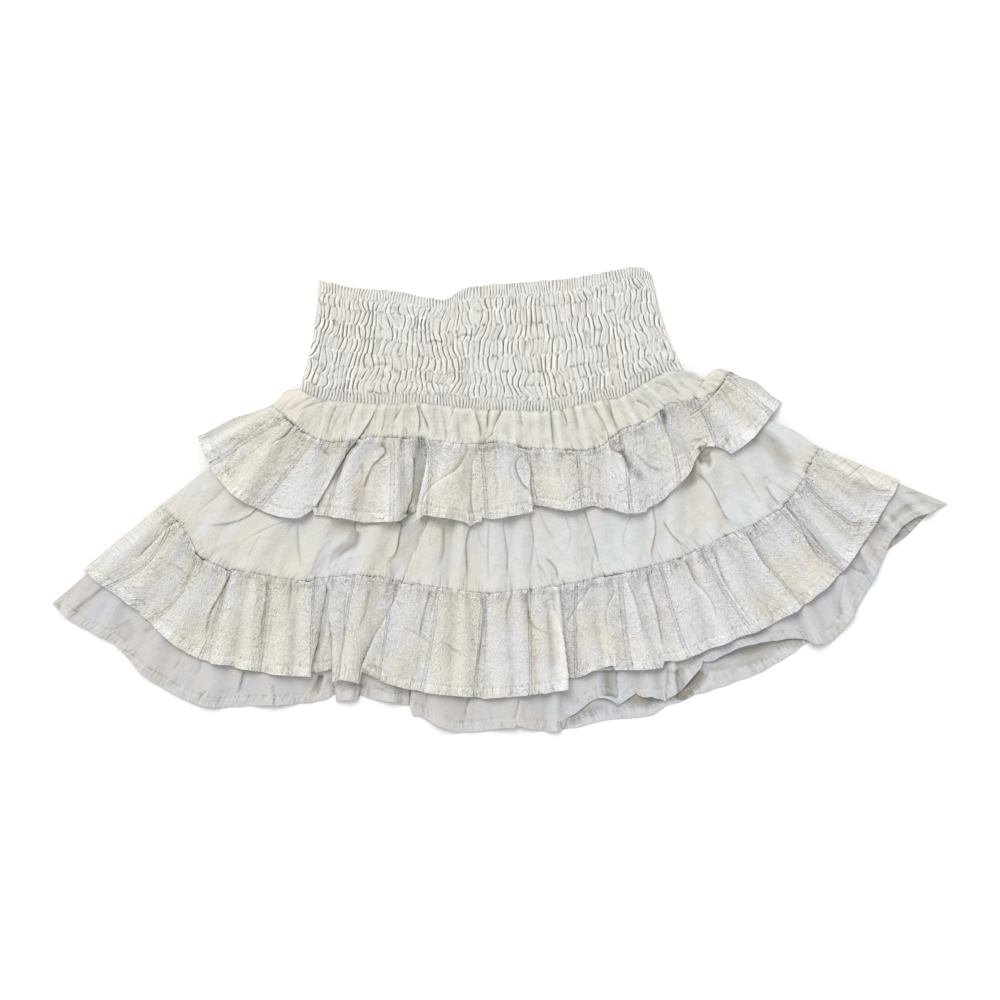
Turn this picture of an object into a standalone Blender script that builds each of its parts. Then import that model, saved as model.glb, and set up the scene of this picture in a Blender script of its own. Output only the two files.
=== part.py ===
"""Tiered ruffle skirt, lying flat on its back with its front up.

A smocked waistband carries three tubes of cloth that hang inside one another: the upper tier, the
lower tier and the lining. Each tier is a plain yoke with a gathered ruffle sewn to its lower edge.
Pressed flat, every tube is a back panel and a front panel, so the layers stack from the surface
up as upper back, lower back, lining back, lining front, lower front and upper front.

Tables and driving sizes are in millimetres: X runs across the skirt, Y towards the waist and Z up
from the surface. The finished skirt stands in metres, with the middle of its footprint at X = Y = 0.
"""
import math
from typing import NamedTuple

import bmesh
import bpy
import numpy as np
from mathutils import Vector
from mathutils.bvhtree import BVHTree

MM = 0.001

# Cloth
WALL = 1.1                # one panel
HEM_WALL = 1.8            # a panel where its hem is folded double
RUFFLE_HEM = 8.0          # depth of the ruffles' hems
LINING_HEM = 8.0          # depth of the lining's hem
SEAM_GAP = 0.3            # clearance between two pieces sewn edge to edge
LAYER_GAP = 0.3           # clearance between two layers
BACK_SHORT = 4.0          # the back hems lie this far inside the front ones
EDGE_REST = 12.0          # the folds die away over this distance from a side fold
FLATTEST = 0.4            # least share of a wall's lift that counts as its thickness
LEVEL = 5e-7              # a face is level when its normal is this close to upright
SAME_PLANE = math.radians(0.5)        # level faces within this angle become one
LEAN_REACH = 1.6          # a fold leans the cloth over out to this many half widths from its crest
LEAN_REST = 0.25          # pull back to upright away from the folds, against a crest's 1

# How cloth bridges what it lies on
BED_CELL = 3.0
BED_REACH = 4.0           # it keeps its full height this far beyond what lifts it
BED_ROUND = 14.0          # radius of the curve by which it comes down
BED_HALF_X = 400.0
BED_HALF_Y = 220.0
RAYS_FROM = 1.0           # metres: well above every layer

# Smocked waistband
ELASTIC_ROWS = 8
PUCKERS = 31
BAND_WALL = 3.0           # the back half, which is pressed flat
BAND_FLOOR = 1.5          # the front half in the grooves of its elastic
BAND_PUFF = 0.5           # rise between two rows of elastic
PUCKER_RISE = 1.1
PUCKER_UNEVEN = (0.55, 1.15)          # range of a pucker's rise, as a share of PUCKER_RISE
PUCKER_PINCHED = 0.35     # share of the rise that is left on a row of elastic
PUCKER_WANDER = 0.9       # sideways drift of a pucker between two rows
BAND_WAIST = 3.5          # the sides draw in by this much at half height
BAND_STIFF = 3            # power by which that fades towards the middle of the band
BAND_EDGE = 5.0           # the front half thins over this distance from a side fold
EDGE_WALL = 1.0
SEED = 12

STEP = 0.004              # step across by which a curve's direction is read
BETWEEN = np.linspace(0, 1, 9)        # places inside a face where its clearance is tested

# Columns of faces across a panel
BACK_COLUMNS = 44
LINING_COLUMNS = 62
LOWER_COLUMNS = 86
UPPER_COLUMNS = 80

# Rows of faces, as shares of the way down a piece; a ruffle's last row is its hem
UPPER_YOKE_ROWS = (0, 0.35, 0.7, 1)
UPPER_RUFFLE_ROWS = (0, 0.2, 0.42, 0.68, 1)
LOWER_YOKE_ROWS = (0, 0.5, 0.66, 0.78, 0.9, 1)
LOWER_RUFFLE_ROWS = (0, 0.16, 0.36, 0.57, 0.78, 1)
LINING_HIDDEN_ROWS = (0, 0.5)
LINING_ROWS = (0, 0.35, 0.6, 0.8, 1)
BACK_ROWS = (0, 0.5, 1)
HEM_ROWS = {"front": 1, "back": 0}       # rows of points at the doubled hem


class Seam(NamedTuple):
    """A point of the waist seam or of the waistband's top edge."""
    across: float         # share of the way from the left side fold to the right one
    x: float
    y: float


WAIST_SEAM = (
    Seam(0.00, -164, 90), Seam(0.05, -150, 84), Seam(0.15, -121, 80), Seam(0.24, -91, 78),
    Seam(0.31, -70, 80), Seam(0.39, -45, 77), Seam(0.48, -16, 74), Seam(0.57, 13, 73),
    Seam(0.68, 46, 73), Seam(0.76, 72, 80), Seam(0.83, 95, 83), Seam(0.90, 117, 95),
    Seam(0.95, 133, 104), Seam(1.00, 150, 106),
)
WAIST_TOP = (
    Seam(0.00, -148, 180), Seam(0.04, -138, 177), Seam(0.12, -116, 173), Seam(0.22, -88, 171),
    Seam(0.31, -62, 166), Seam(0.39, -41, 165), Seam(0.43, -32, 172), Seam(0.49, -13, 175),
    Seam(0.62, 22, 178), Seam(0.75, 58, 181), Seam(0.86, 90, 187), Seam(0.95, 115, 190),
    Seam(1.00, 124, 184),
)


class Thread(NamedTuple):
    """One lengthwise thread of a tier, from the waist seam through the gather seam to the hem."""
    across: float
    waist: float          # where it leaves the waist seam, as a share of the way across
    gather_x: float
    gather_y: float
    hem_x: float
    hem_y: float


UPPER_TIER = (
    Thread(0.000, 0.000, -187, 77, -248, 52),
    Thread(0.020, 0.020, -181, 72, -243, 42),
    Thread(0.060, 0.050, -171, 63, -230, 18),
    Thread(0.120, 0.085, -155, 51, -201, -6),
    Thread(0.167, 0.120, -138, 46, -173, -14),
    Thread(0.210, 0.155, -123, 48, -143, -13),
    Thread(0.260, 0.210, -105, 50, -116, -17),
    Thread(0.310, 0.270, -84, 50, -86, -17),
    Thread(0.360, 0.330, -64, 49, -64, -9),
    Thread(0.400, 0.390, -46, 46, -46, -14),
    Thread(0.440, 0.450, -26, 44, -24, -17),
    Thread(0.500, 0.520, -2, 46, 4, -14),
    Thread(0.557, 0.590, 24, 41, 31, -7),
    Thread(0.616, 0.670, 52, 40, 58, -8),
    Thread(0.670, 0.740, 77, 41, 82, -3),
    Thread(0.720, 0.790, 96, 54, 107, -9),
    Thread(0.780, 0.850, 122, 65, 132, 0),
    Thread(0.830, 0.900, 138, 77, 150, 21),
    Thread(0.880, 0.930, 156, 80, 169, 44),
    Thread(0.927, 0.965, 174, 87, 196, 46),
    Thread(1.000, 1.000, 189, 105, 231, 80),
)
LOWER_TIER = (
    Thread(0.000, 0.016, -278, -5, -341, -57),
    Thread(0.021, 0.036, -269, -14, -328, -68),
    Thread(0.048, 0.062, -258, -25, -310, -79),
    Thread(0.088, 0.101, -246, -45, -286, -100),
    Thread(0.129, 0.141, -229, -55, -256, -124),
    Thread(0.180, 0.190, -200, -61, -216, -136),
    Thread(0.235, 0.243, -167, -66, -177, -142),
    Thread(0.283, 0.290, -139, -64, -139, -141),
    Thread(0.328, 0.334, -111, -62, -106, -145),
    Thread(0.380, 0.384, -80, -68, -68, -155),
    Thread(0.436, 0.438, -47, -73, -26, -160),
    Thread(0.493, 0.493, -12, -77, 17, -159),
    Thread(0.547, 0.545, 25, -74, 51, -153),
    Thread(0.598, 0.595, 58, -69, 84, -138),
    Thread(0.648, 0.643, 89, -62, 119, -138),
    Thread(0.698, 0.692, 119, -56, 155, -128),
    Thread(0.751, 0.743, 150, -47, 191, -113),
    Thread(0.800, 0.790, 179, -33, 226, -99),
    Thread(0.850, 0.839, 207, -21, 255, -80),
    Thread(0.905, 0.892, 234, -3, 286, -50),
    Thread(0.958, 0.943, 249, 20, 311, -10),
    Thread(1.000, 0.984, 261, 43, 327, 16),
)
# The lining has no gather seam: its middle points only guide the threads under the lower tier's.
LINING = (
    Thread(0.000, 0.030, -278, -10, -367, -85),
    Thread(0.035, 0.063, -262, -23, -344, -104),
    Thread(0.073, 0.099, -246, -46, -320, -115),
    Thread(0.124, 0.147, -221, -58, -287, -147),
    Thread(0.177, 0.196, -190, -64, -247, -167),
    Thread(0.235, 0.251, -154, -66, -200, -168),
    Thread(0.288, 0.301, -123, -62, -154, -166),
    Thread(0.335, 0.345, -94, -67, -117, -162),
    Thread(0.378, 0.385, -70, -70, -80, -169),
    Thread(0.431, 0.435, -41, -74, -36, -189),
    Thread(0.489, 0.490, -4, -76, 10, -186),
    Thread(0.537, 0.535, 28, -73, 46, -188),
    Thread(0.590, 0.585, 58, -68, 82, -161),
    Thread(0.640, 0.632, 89, -61, 123, -163),
    Thread(0.687, 0.676, 117, -56, 158, -145),
    Thread(0.746, 0.731, 150, -46, 201, -119),
    Thread(0.798, 0.780, 178, -33, 246, -114),
    Thread(0.834, 0.814, 202, -23, 268, -116),
    Thread(0.880, 0.857, 226, -11, 294, -85),
    Thread(0.928, 0.902, 244, 12, 312, -51),
    Thread(0.963, 0.935, 255, 27, 328, -23),
    Thread(1.000, 0.970, 264, 39, 367, -3),
)


class Drop(NamedTuple):
    """How far the back of the lining hangs past its front; less than nothing is shorter."""
    across: float
    past: float


LINING_BACK_DROP = (
    Drop(0.00, -4), Drop(0.53, -4), Drop(0.59, 20), Drop(0.64, 15), Drop(0.69, 17),
    Drop(0.75, 25), Drop(0.80, 5), Drop(0.83, -4), Drop(0.93, -4), Drop(0.96, 8), Drop(1.00, -4),
)


class Fold(NamedTuple):
    """A soft ridge of cloth that widens from its head to its foot and may lean over sideways."""
    head_x: float
    head_y: float
    foot_x: float
    foot_y: float
    head_width: float
    foot_width: float
    head_height: float
    foot_height: float
    lean: float           # sideways shift of the crest for each millimetre of height


UPPER_FOLDS = (
    # lobes of the ruffle, from left to right
    Fold(-190, 74, -239, 44, 11, 21, 2, 4, 0),
    Fold(-175, 59, -216, 1, 15, 39, 3, 6, 0.3),
    Fold(-149, 49, -172, -20, 25, 52, 3, 7, 0.6),
    Fold(-121, 39, -128, -22, 18, 38, 3, 7, -0.5),
    Fold(-87, 43, -91, -23, 21, 36, 4, 8, 0.9),
    Fold(-39, 41, -46, -22, 25, 49, 5, 9, -1.1),
    Fold(5, 43, 7, -20, 30, 44, 3, 6, 0.5),
    Fold(40, 35, 55, -15, 26, 54, 4, 7, -0.3),
    Fold(86, 42, 105, -14, 23, 48, 4, 7, -0.5),
    Fold(123, 61, 153, 11, 21, 43, 4, 8, 0.8),
    Fold(164, 80, 204, 49, 20, 36, 3, 6, -0.5),
    Fold(184, 96, 228, 75, 10, 18, 1, 3, 0),
    # gathers of the yoke
    Fold(-159, 82, -165, 64, 10, 11, 1.5, 1.5, 0),
    Fold(-137, 77, -147, 50, 11, 13, 2, 2, 0.2),
    Fold(-114, 75, -123, 49, 12, 15, 2.5, 2, -0.3),
    Fold(-94, 75, -99, 48, 11, 13, 2.5, 2, 0.3),
    Fold(-78, 76, -82, 51, 11, 13, 2.5, 2, 0.3),
    Fold(-60, 74, -57, 49, 15, 18, 4, 3, -0.6),
    Fold(-41, 74, -38, 47, 11, 13, 2, 2, 0),
    Fold(-23, 73, -20, 44, 11, 12, 2.5, 2, 0.3),
    Fold(-5, 71, -9, 44, 11, 11, 2.5, 2, -0.3),
    Fold(11, 71, 12, 48, 11, 13, 2, 2, 0),
    Fold(29, 71, 31, 42, 11, 13, 2.5, 2, 0.3),
    Fold(46, 71, 50, 41, 11, 12, 2, 2, 0),
    Fold(64, 73, 71, 43, 12, 15, 3, 2.5, 0.4),
    Fold(81, 78, 92, 50, 11, 15, 3, 2.5, 0.4),
    Fold(100, 82, 112, 60, 11, 13, 2.5, 2.5, 0.3),
    Fold(118, 91, 136, 74, 11, 14, 3, 3, 0.6),
    Fold(134, 100, 154, 82, 11, 15, 3, 3, 0.5),
    Fold(155, 104, 174, 90, 11, 13, 2.5, 2, 0.3),
)
LOWER_FOLDS = (
    # lobes of the ruffle, from left to right
    Fold(-274, -12, -328, -61, 16, 28, 1.5, 3, 0),
    Fold(-258, -27, -305, -82, 18, 33, 2, 4, -0.5),
    Fold(-234, -55, -269, -115, 21, 46, 2, 5, 0),
    Fold(-216, -62, -228, -135, 13, 26, 3, 5, -0.8),
    Fold(-200, -64, -208, -141, 13, 28, 3, 5, 0.5),
    Fold(-178, -66, -180, -146, 21, 34, 3, 5, -0.4),
    Fold(-157, -68, -162, -146, 20, 30, 3, 6, 0.8),
    Fold(-113, -66, -123, -156, 33, 26, 4, 9, -0.6),
    Fold(-75, -74, -88, -156, 21, 43, 3, 6, -0.8),
    Fold(-49, -76, -54, -162, 20, 38, 3, 5, 0.3),
    Fold(-31, -77, -31, -166, 13, 31, 3, 5, 0.4),
    Fold(-5, -80, 0, -166, 16, 36, 3, 5, -0.4),
    Fold(14, -78, 23, -166, 15, 34, 3, 5, 0.3),
    Fold(31, -76, 37, -164, 15, 25, 2, 5, 0),
    Fold(45, -74, 48, -164, 13, 20, 4, 9, 0.8),
    Fold(64, -73, 74, -146, 18, 31, 3, 5, -0.3),
    Fold(82, -68, 92, -143, 13, 21, 2, 3, 0.3),
    Fold(102, -64, 117, -145, 16, 38, 3, 6, 0.9),
    Fold(138, -56, 158, -135, 25, 41, 3, 6, -0.3),
    Fold(159, -48, 184, -125, 13, 30, 3, 5, 0.4),
    Fold(178, -38, 210, -114, 16, 36, 3, 5, -0.3),
    Fold(197, -32, 238, -94, 15, 31, 3, 5, 0.5),
    Fold(220, -21, 266, -76, 23, 41, 3, 6, 0.6),
    Fold(244, 0, 286, -50, 15, 30, 3, 6, -0.7),
    Fold(256, 16, 305, -23, 16, 31, 3, 5, 0.3),
    Fold(267, 32, 325, 6, 13, 25, 2, 3, 0),
    # gathers of the yoke that show below the upper tier
    Fold(-213, 9, -246, -41, 21, 30, 2, 3, -0.3),
    Fold(-172, 1, -205, -54, 28, 31, 3, 3, 0),
    Fold(-137, -2, -164, -61, 30, 33, 5, 4, 0.8),
    Fold(-94, -2, -113, -61, 28, 30, 5, 3, 0.5),
    Fold(-47, 4, -57, -68, 28, 28, 6, 4, -0.9),
    Fold(-32, 0, -36, -72, 15, 18, 4, 3, 0.5),
    Fold(-6, 0, -5, -76, 31, 30, 4, 3, 0),
    Fold(17, 0, 17, -73, 18, 21, 3, 3, -0.3),
    Fold(50, 4, 59, -68, 36, 39, 4, 5, 0.5),
    Fold(100, 8, 107, -58, 36, 33, 5, 4, 0.5),
    Fold(140, 12, 141, -48, 21, 23, 4, 3, -0.4),
    Fold(166, 28, 173, -35, 31, 28, 5, 4, 0.4),
    Fold(199, 41, 214, -18, 28, 28, 4, 4, 0),
    Fold(227, 59, 246, 14, 28, 25, 4, 3, 0.3),
)
LINING_FOLDS = (
    Fold(-337, -59, -359, -96, 15, 21, 2, 3, 0.5),
    Fold(-311, -78, -329, -117, 16, 28, 2, 3, 0),
    Fold(-278, -111, -296, -155, 25, 38, 3, 4, -0.3),
    Fold(-236, -128, -242, -176, 28, 41, 3, 5, 0.3),
    Fold(-187, -132, -187, -178, 33, 49, 4, 5, 0.3),
    Fold(-127, -136, -124, -174, 20, 23, 5, 7, 0.4),
    Fold(-93, -144, -93, -179, 28, 36, 4, 6, 0.9),
    Fold(-49, -152, -49, -199, 36, 41, 5, 7, -0.3),
    Fold(7, -152, 10, -197, 46, 59, 4, 6, 0),
    Fold(43, -152, 44, -199, 15, 16, 7, 9, 0.4),
    Fold(86, -128, 92, -179, 25, 31, 3, 4, -0.3),
    Fold(118, -128, 125, -174, 20, 23, 3, 5, 0),
    Fold(140, -128, 143, -174, 11, 18, 4, 7, 0.3),
    Fold(193, -99, 207, -128, 36, 49, 3, 4, 0),
    Fold(245, -78, 264, -128, 18, 25, 4, 6, -0.4),
    Fold(278, -66, 289, -109, 18, 25, 3, 5, 0.3),
    Fold(297, -41, 314, -76, 16, 21, 4, 5, -0.4),
    Fold(315, -17, 335, -40, 13, 16, 4, 4, 0.3),
    Fold(332, 4, 356, -17, 15, 21, 3, 4, 0),
)


class Cloth(NamedTuple):
    """The finish of a panel."""
    name: str
    colour: tuple
    roughness: float


SMOCKED = Cloth("smocked_voile", (0.66, 0.64, 0.58, 1.0), 0.85)
VOILE = Cloth("cream_voile", (0.60, 0.57, 0.51, 1.0), 0.80)
FIGURED = Cloth("figured_cotton", (0.67, 0.64, 0.58, 1.0), 0.85)
LINING_VOILE = Cloth("lining_voile", (0.52, 0.50, 0.47, 1.0), 0.80)


# ---------------------------------------------------------------- curves and folds

def smooth(rows, share):
    """Read a table at any shares across: rows are (across, value, ...), joined by one curve."""
    table = np.array(rows, dtype=float)
    knots, values = table[:, 0], table[:, 1:]
    slopes = np.gradient(values, knots, axis=0)
    share = np.clip(share, knots[0], knots[-1])
    left = np.clip(np.searchsorted(knots, share, side="right") - 1, 0, len(knots) - 2)
    span = (knots[left + 1] - knots[left])[:, None]
    t = (share - knots[left])[:, None] / span
    return ((1 + 2 * t) * (1 - t) ** 2 * values[left] + t * (1 - t) ** 2 * span * slopes[left]
            + t * t * (3 - 2 * t) * values[left + 1] + t * t * (t - 1) * span * slopes[left + 1])


def waist_seam(share, drop=0.0):
    """Points of the waist seam, moved square to it by drop towards the hem."""
    points = smooth(WAIST_SEAM, share)
    tangent = smooth(WAIST_SEAM, share + STEP) - smooth(WAIST_SEAM, share - STEP)
    normal = np.stack((tangent[:, 1], -tangent[:, 0]), axis=1)
    return points + drop * normal / np.linalg.norm(normal, axis=1, keepdims=True)


def toward(start, end, distance):
    """Points a given distance from start on the way to end; distance may be one for each point."""
    step = end - start
    return start + step * (np.reshape(distance, (-1, 1)) / np.linalg.norm(step, axis=1, keepdims=True))


def ease(share):
    """Rise from 0 to 1 with soft ends."""
    share = np.clip(share, 0.0, 1.0)
    return share * share * (3 - 2 * share)


def folded(points, folds):
    """Height of the folds at each plan point, and the sideways lean of the cloth there."""
    height = np.zeros(points.shape[:-1])
    lean = np.zeros(points.shape)
    weight = np.full(points.shape[:-1], LEAN_REST)
    for fold in folds:
        head = np.array((fold.head_x, fold.head_y), dtype=float)
        run = np.array((fold.foot_x, fold.foot_y), dtype=float) - head
        length = np.hypot(*run)
        side = np.array((-run[1], run[0])) / length
        along = (points - head) @ run / length ** 2
        share = np.clip(along, 0, 1)
        half = (fold.head_width + (fold.foot_width - fold.head_width) * share) / 2
        beyond = np.abs(along - share) * length
        off = np.hypot((points - head) @ side, beyond) / half
        crest = fold.head_height + (fold.foot_height - fold.head_height) * share
        height += (crest * np.cos(np.clip(off, 0, 1) * math.pi / 2) ** 2) ** 2
        near = np.cos(np.clip(off / LEAN_REACH, 0, 1) * math.pi / 2) ** 2
        lean += near[..., None] * fold.lean * side
        weight += near
    return np.sqrt(height), lean / weight[..., None]


# ---------------------------------------------------------------- what the cloth lies on

class Bed:
    """Heights of all that lies below the next layer, on a square grid of cells."""

    def __init__(self):
        self.x = np.arange(-BED_HALF_X, BED_HALF_X + BED_CELL, BED_CELL)
        self.y = np.arange(-BED_HALF_Y, BED_HALF_Y + BED_CELL, BED_CELL)
        self.top = np.zeros((len(self.y), len(self.x)))
        self.cover = self.top

    def add(self, skirt_objects):
        """Raise the bed by the given panels, and drape a cover over the whole of it."""
        down = Vector((0, 0, -1))
        for obj in skirt_objects:
            tree = BVHTree.FromObject(obj, bpy.context.evaluated_depsgraph_get())
            for row, y in enumerate(self.y):
                for column, x in enumerate(self.x):
                    hit = tree.ray_cast(Vector((x * MM, y * MM, RAYS_FROM)), down)[0]
                    if hit:
                        self.top[row, column] = max(self.top[row, column], hit.z / MM + LAYER_GAP)
        self.cover = self.draped()

    def draped(self):
        """Spread each height a little, then round it off on the way down."""
        cover = self.top
        reach = math.ceil((BED_REACH + math.sqrt(2 * BED_ROUND * cover.max())) / BED_CELL)
        for axis in (0, 1):
            spread = cover
            for shift in range(-reach, reach + 1):
                fall = max(0.0, abs(shift) * BED_CELL - BED_REACH) ** 2 / (2 * BED_ROUND)
                spread = np.maximum(spread, np.roll(cover, shift, axis=axis) - fall)
            cover = spread
        return cover

    def at(self, x, y):
        """Height of the cover at the given places, between its cells."""
        column = (x - self.x[0]) / BED_CELL
        row = (y - self.y[0]) / BED_CELL
        left, below = column.astype(int), row.astype(int)
        u, v = column - left, row - below
        return ((1 - v) * ((1 - u) * self.cover[below, left] + u * self.cover[below, left + 1])
                + v * ((1 - u) * self.cover[below + 1, left] + u * self.cover[below + 1, left + 1]))


# ---------------------------------------------------------------- building one object

def material(cloth):
    """The cloth's own Principled material."""
    made = bpy.data.materials.new(cloth.name)
    made.use_nodes = True
    shader = made.node_tree.nodes["Principled BSDF"]
    shader.inputs["Base Color"].default_value = cloth.colour
    shader.inputs["Roughness"].default_value = cloth.roughness
    shader.inputs["Metallic"].default_value = 0.0
    made.diffuse_color = cloth.colour
    return made


def merge_level_faces(bm):
    """Dissolve the edges and points inside stretches of faces that are exactly level."""
    bm.normal_update()
    level = {face for face in bm.faces if abs(face.normal.z) > 1 - LEVEL}
    verts = [vert for vert in bm.verts if level.issuperset(vert.link_faces)]
    edges = [edge for edge in bm.edges if level.issuperset(edge.link_faces)]
    bmesh.ops.dissolve_limit(bm, angle_limit=SAME_PLANE, verts=verts, edges=edges)


def wall_between(name, under, over, cloth):
    """Make a closed wall between two grids of points; what is flat in it becomes one face."""
    rows, columns = under.shape[:2]
    bm = bmesh.new()
    bmesh.ops.create_grid(bm, x_segments=columns - 1, y_segments=rows - 1, size=1.0)
    number = bm.verts.layers.int.new("number")
    for index, vert in enumerate(bm.verts):
        vert[number] = index
    lifted = bmesh.ops.extrude_face_region(bm, geom=bm.faces[:], use_keep_orig=True)["geom"]
    upper_verts = {item for item in lifted if isinstance(item, bmesh.types.BMVert)}
    for vert in bm.verts:
        grid = over if vert in upper_verts else under
        vert.co = Vector(grid[vert[number] // columns, vert[number] % columns]) * MM
    merge_level_faces(bm)
    bmesh.ops.recalc_face_normals(bm, faces=bm.faces)
    mesh = bpy.data.meshes.new(name)
    bm.to_mesh(mesh)
    bm.free()
    mesh.shade_smooth()
    mesh.materials.append(material(cloth))
    obj = bpy.data.objects.new(name, mesh)
    SKIRT.objects.link(obj)
    return obj


# ---------------------------------------------------------------- tiers

def threads_of(tier, columns):
    """Waist, gather and hem points of evenly spaced threads of a tier."""
    across = np.linspace(0, 1, columns + 1)
    read = smooth(tier, across)
    waist = waist_seam(read[:, 0], SEAM_GAP)
    return across, waist, read[:, 1:3], read[:, 3:5]


def grid_along(start, end, shares):
    """Rows of points between two seams, one row for each share of the way."""
    return start[None] + (end - start)[None] * np.asarray(shares)[:, None, None]


def cleared(points, bed):
    """How far each point of a grid has to rise for the faces around it to clear the bed."""
    short = np.zeros(points.shape[:2])
    a, b, c, d = points[:-1, :-1], points[:-1, 1:], points[1:, :-1], points[1:, 1:]
    for v in BETWEEN:
        for u in BETWEEN:
            by_ad = a + u * (b - a) + v * (d - b) if u > v else a + v * (c - a) + u * (d - c)
            by_bc = (a + u * (b - a) + v * (c - a) if u + v < 1
                     else d + (1 - u) * (c - d) + (1 - v) * (b - d))
            need = np.maximum(bed.at(by_ad[..., 0], by_ad[..., 1]) - by_ad[..., 2],
                              bed.at(by_bc[..., 0], by_bc[..., 1]) - by_bc[..., 2])
            for corner in (short[:-1, :-1], short[:-1, 1:], short[1:, :-1], short[1:, 1:]):
                np.maximum(corner, need, out=corner)
    return short


def lay(points, across, bed, folds=(), hem_rows=0):
    """Lay a grid of cloth on the bed with its folds: the grids of its underside and its outside."""
    height, lean = folded(points, folds)
    width = np.linalg.norm(points[:, -1] - points[:, 0], axis=1)[:, None]
    fade = ease(np.minimum(across, 1 - across)[None] * width / EDGE_REST)
    height = height * fade
    lean = lean * fade[..., None]

    def lifted(level):
        x = points[..., 0] + lean[..., 0] * level
        y = points[..., 1] + lean[..., 1] * level
        return np.stack((x, y, bed.at(x, y) + level), axis=-1)

    under = lifted(height)
    raise_by = cleared(under, bed)
    face = np.cross(np.gradient(under, axis=1), np.gradient(under, axis=0))
    face /= np.linalg.norm(face, axis=-1, keepdims=True)
    share = np.abs(np.sum(face * (lifted(height + 1) - under), axis=-1))
    wall = np.full(height.shape, WALL)
    wall[len(wall) - hem_rows:] = HEM_WALL
    over = lifted(height + wall / np.maximum(share, FLATTEST))
    under[..., 2] += raise_by
    over[..., 2] += raise_by
    return under, over


def rows_to_hem(shares, length, hem):
    """Shares of the rows of a panel of this length, the last two on the edges of its hem."""
    return np.append(np.asarray(shares) * (1 - hem / length), 1.0)


def tier_panels(name, side, tier, columns, yoke_rows, ruffle_rows, bed, folds=()):
    """Lay the yoke and the ruffle of one side of a tier; they meet edge to edge."""
    across, waist, gather, hem = threads_of(tier, columns)
    if side == "back":
        hem = toward(hem, gather, BACK_SHORT)
    length = np.linalg.norm(hem - gather, axis=1).mean()
    yoke = grid_along(waist, toward(gather, waist, SEAM_GAP / 2), yoke_rows)
    ruffle = grid_along(toward(gather, hem, SEAM_GAP / 2), hem,
                        rows_to_hem(ruffle_rows, length, RUFFLE_HEM))
    under, over = lay(np.concatenate((yoke, ruffle)), across, bed, folds, HEM_ROWS[side])
    seam = len(yoke)
    bed.add([wall_between(f"{name}_yoke_{side}", under[:seam], over[:seam], VOILE),
             wall_between(f"{name}_ruffle_{side}", under[seam:], over[seam:], FIGURED)])


def lining_panel(side, columns, bed, folds=()):
    """Lay one side of the lining, a single panel from the waist to its own hem."""
    across, waist, middle, hem = threads_of(LINING, columns)
    if side == "back":
        hem = toward(hem, middle, -smooth(LINING_BACK_DROP, across))
    length = np.linalg.norm(hem - middle, axis=1).mean()
    hidden = grid_along(waist, middle, LINING_HIDDEN_ROWS)
    shown = grid_along(middle, hem, rows_to_hem(LINING_ROWS, length, LINING_HEM))
    under, over = lay(np.concatenate((hidden, shown)), across, bed, folds, HEM_ROWS[side])
    bed.add([wall_between(f"lining_{side}", under, over, LINING_VOILE)])


# ---------------------------------------------------------------- waistband

def band_grid(columns, rows):
    """Plan points of the waistband, from its seam up to its top edge, with its sides drawn in."""
    across = np.linspace(0, 1, columns + 1)
    up = np.linspace(0, 1, rows + 1)
    top = smooth(WAIST_TOP, across)
    points = grid_along(waist_seam(across), top, up)
    inward = BAND_WAIST * np.sin(math.pi * up)[:, None] * (1 - 2 * across)[None] ** BAND_STIFF
    points[..., 0] += inward
    return across, up, points


def waistband_back():
    """The half of the band that lies underneath, pressed flat on both sides."""
    points = band_grid(2 * PUCKERS, ELASTIC_ROWS + 1)[2]
    flat = np.zeros(points.shape[:-1])
    under = np.dstack((points, flat))
    over = np.dstack((points, flat + BAND_WALL))
    wall_between("waistband_back", under, over, SMOCKED)


def waistband_front():
    """The smocked half on top: a plain inside, and puckers between the rows of elastic outside."""
    columns, rows = 2 * PUCKERS, 2 * (ELASTIC_ROWS + 1)
    across, up, points = band_grid(columns, rows)
    rng = np.random.default_rng(SEED)
    between = (np.arange(rows + 1) % 2 == 1)[:, None]
    pucker = (np.arange(columns + 1) % 2 == 1)[None]
    uneven = rng.uniform(*PUCKER_UNEVEN, points.shape[:-1])
    pinch = np.where(between, 1, PUCKER_PINCHED)
    rise = np.where(between, BAND_PUFF, 0) + np.where(pucker, PUCKER_RISE, 0) * uneven * pinch
    width = np.linalg.norm(points[:, -1] - points[:, 0], axis=1)[:, None]
    edge = ease(np.minimum(across, 1 - across)[None] * width / BAND_EDGE)
    wall = EDGE_WALL + (BAND_FLOOR - EDGE_WALL + rise) * edge
    inner = np.full(points.shape[:-1], BAND_WALL + LAYER_GAP)
    outer = points.copy()
    drift = rng.uniform(-1, 1, points.shape[:-1]) * PUCKER_WANDER * edge
    drift[0] = drift[-1] = 0
    outer[..., 0] += drift
    wall_between("waistband_front", np.dstack((points, inner)), np.dstack((outer, inner + wall)),
                 SMOCKED)


# ---------------------------------------------------------------- the skirt

def clear_scene():
    """Remove whatever the scene holds, and make the skirt's collection."""
    for obj in list(bpy.data.objects):
        bpy.data.objects.remove(obj, do_unlink=True)
    skirt = bpy.data.collections.new("tiered_ruffle_skirt")
    bpy.context.scene.collection.children.link(skirt)
    return skirt


def centre_footprint(objects):
    """Shift every mesh so that the middle of the skirt's footprint is at X = Y = 0."""
    corners = np.array([obj.matrix_world @ vert.co for obj in objects for vert in obj.data.vertices])
    middle = (corners.min(axis=0) + corners.max(axis=0)) / 2
    for obj in objects:
        for vert in obj.data.vertices:
            vert.co.x -= middle[0]
            vert.co.y -= middle[1]


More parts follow.
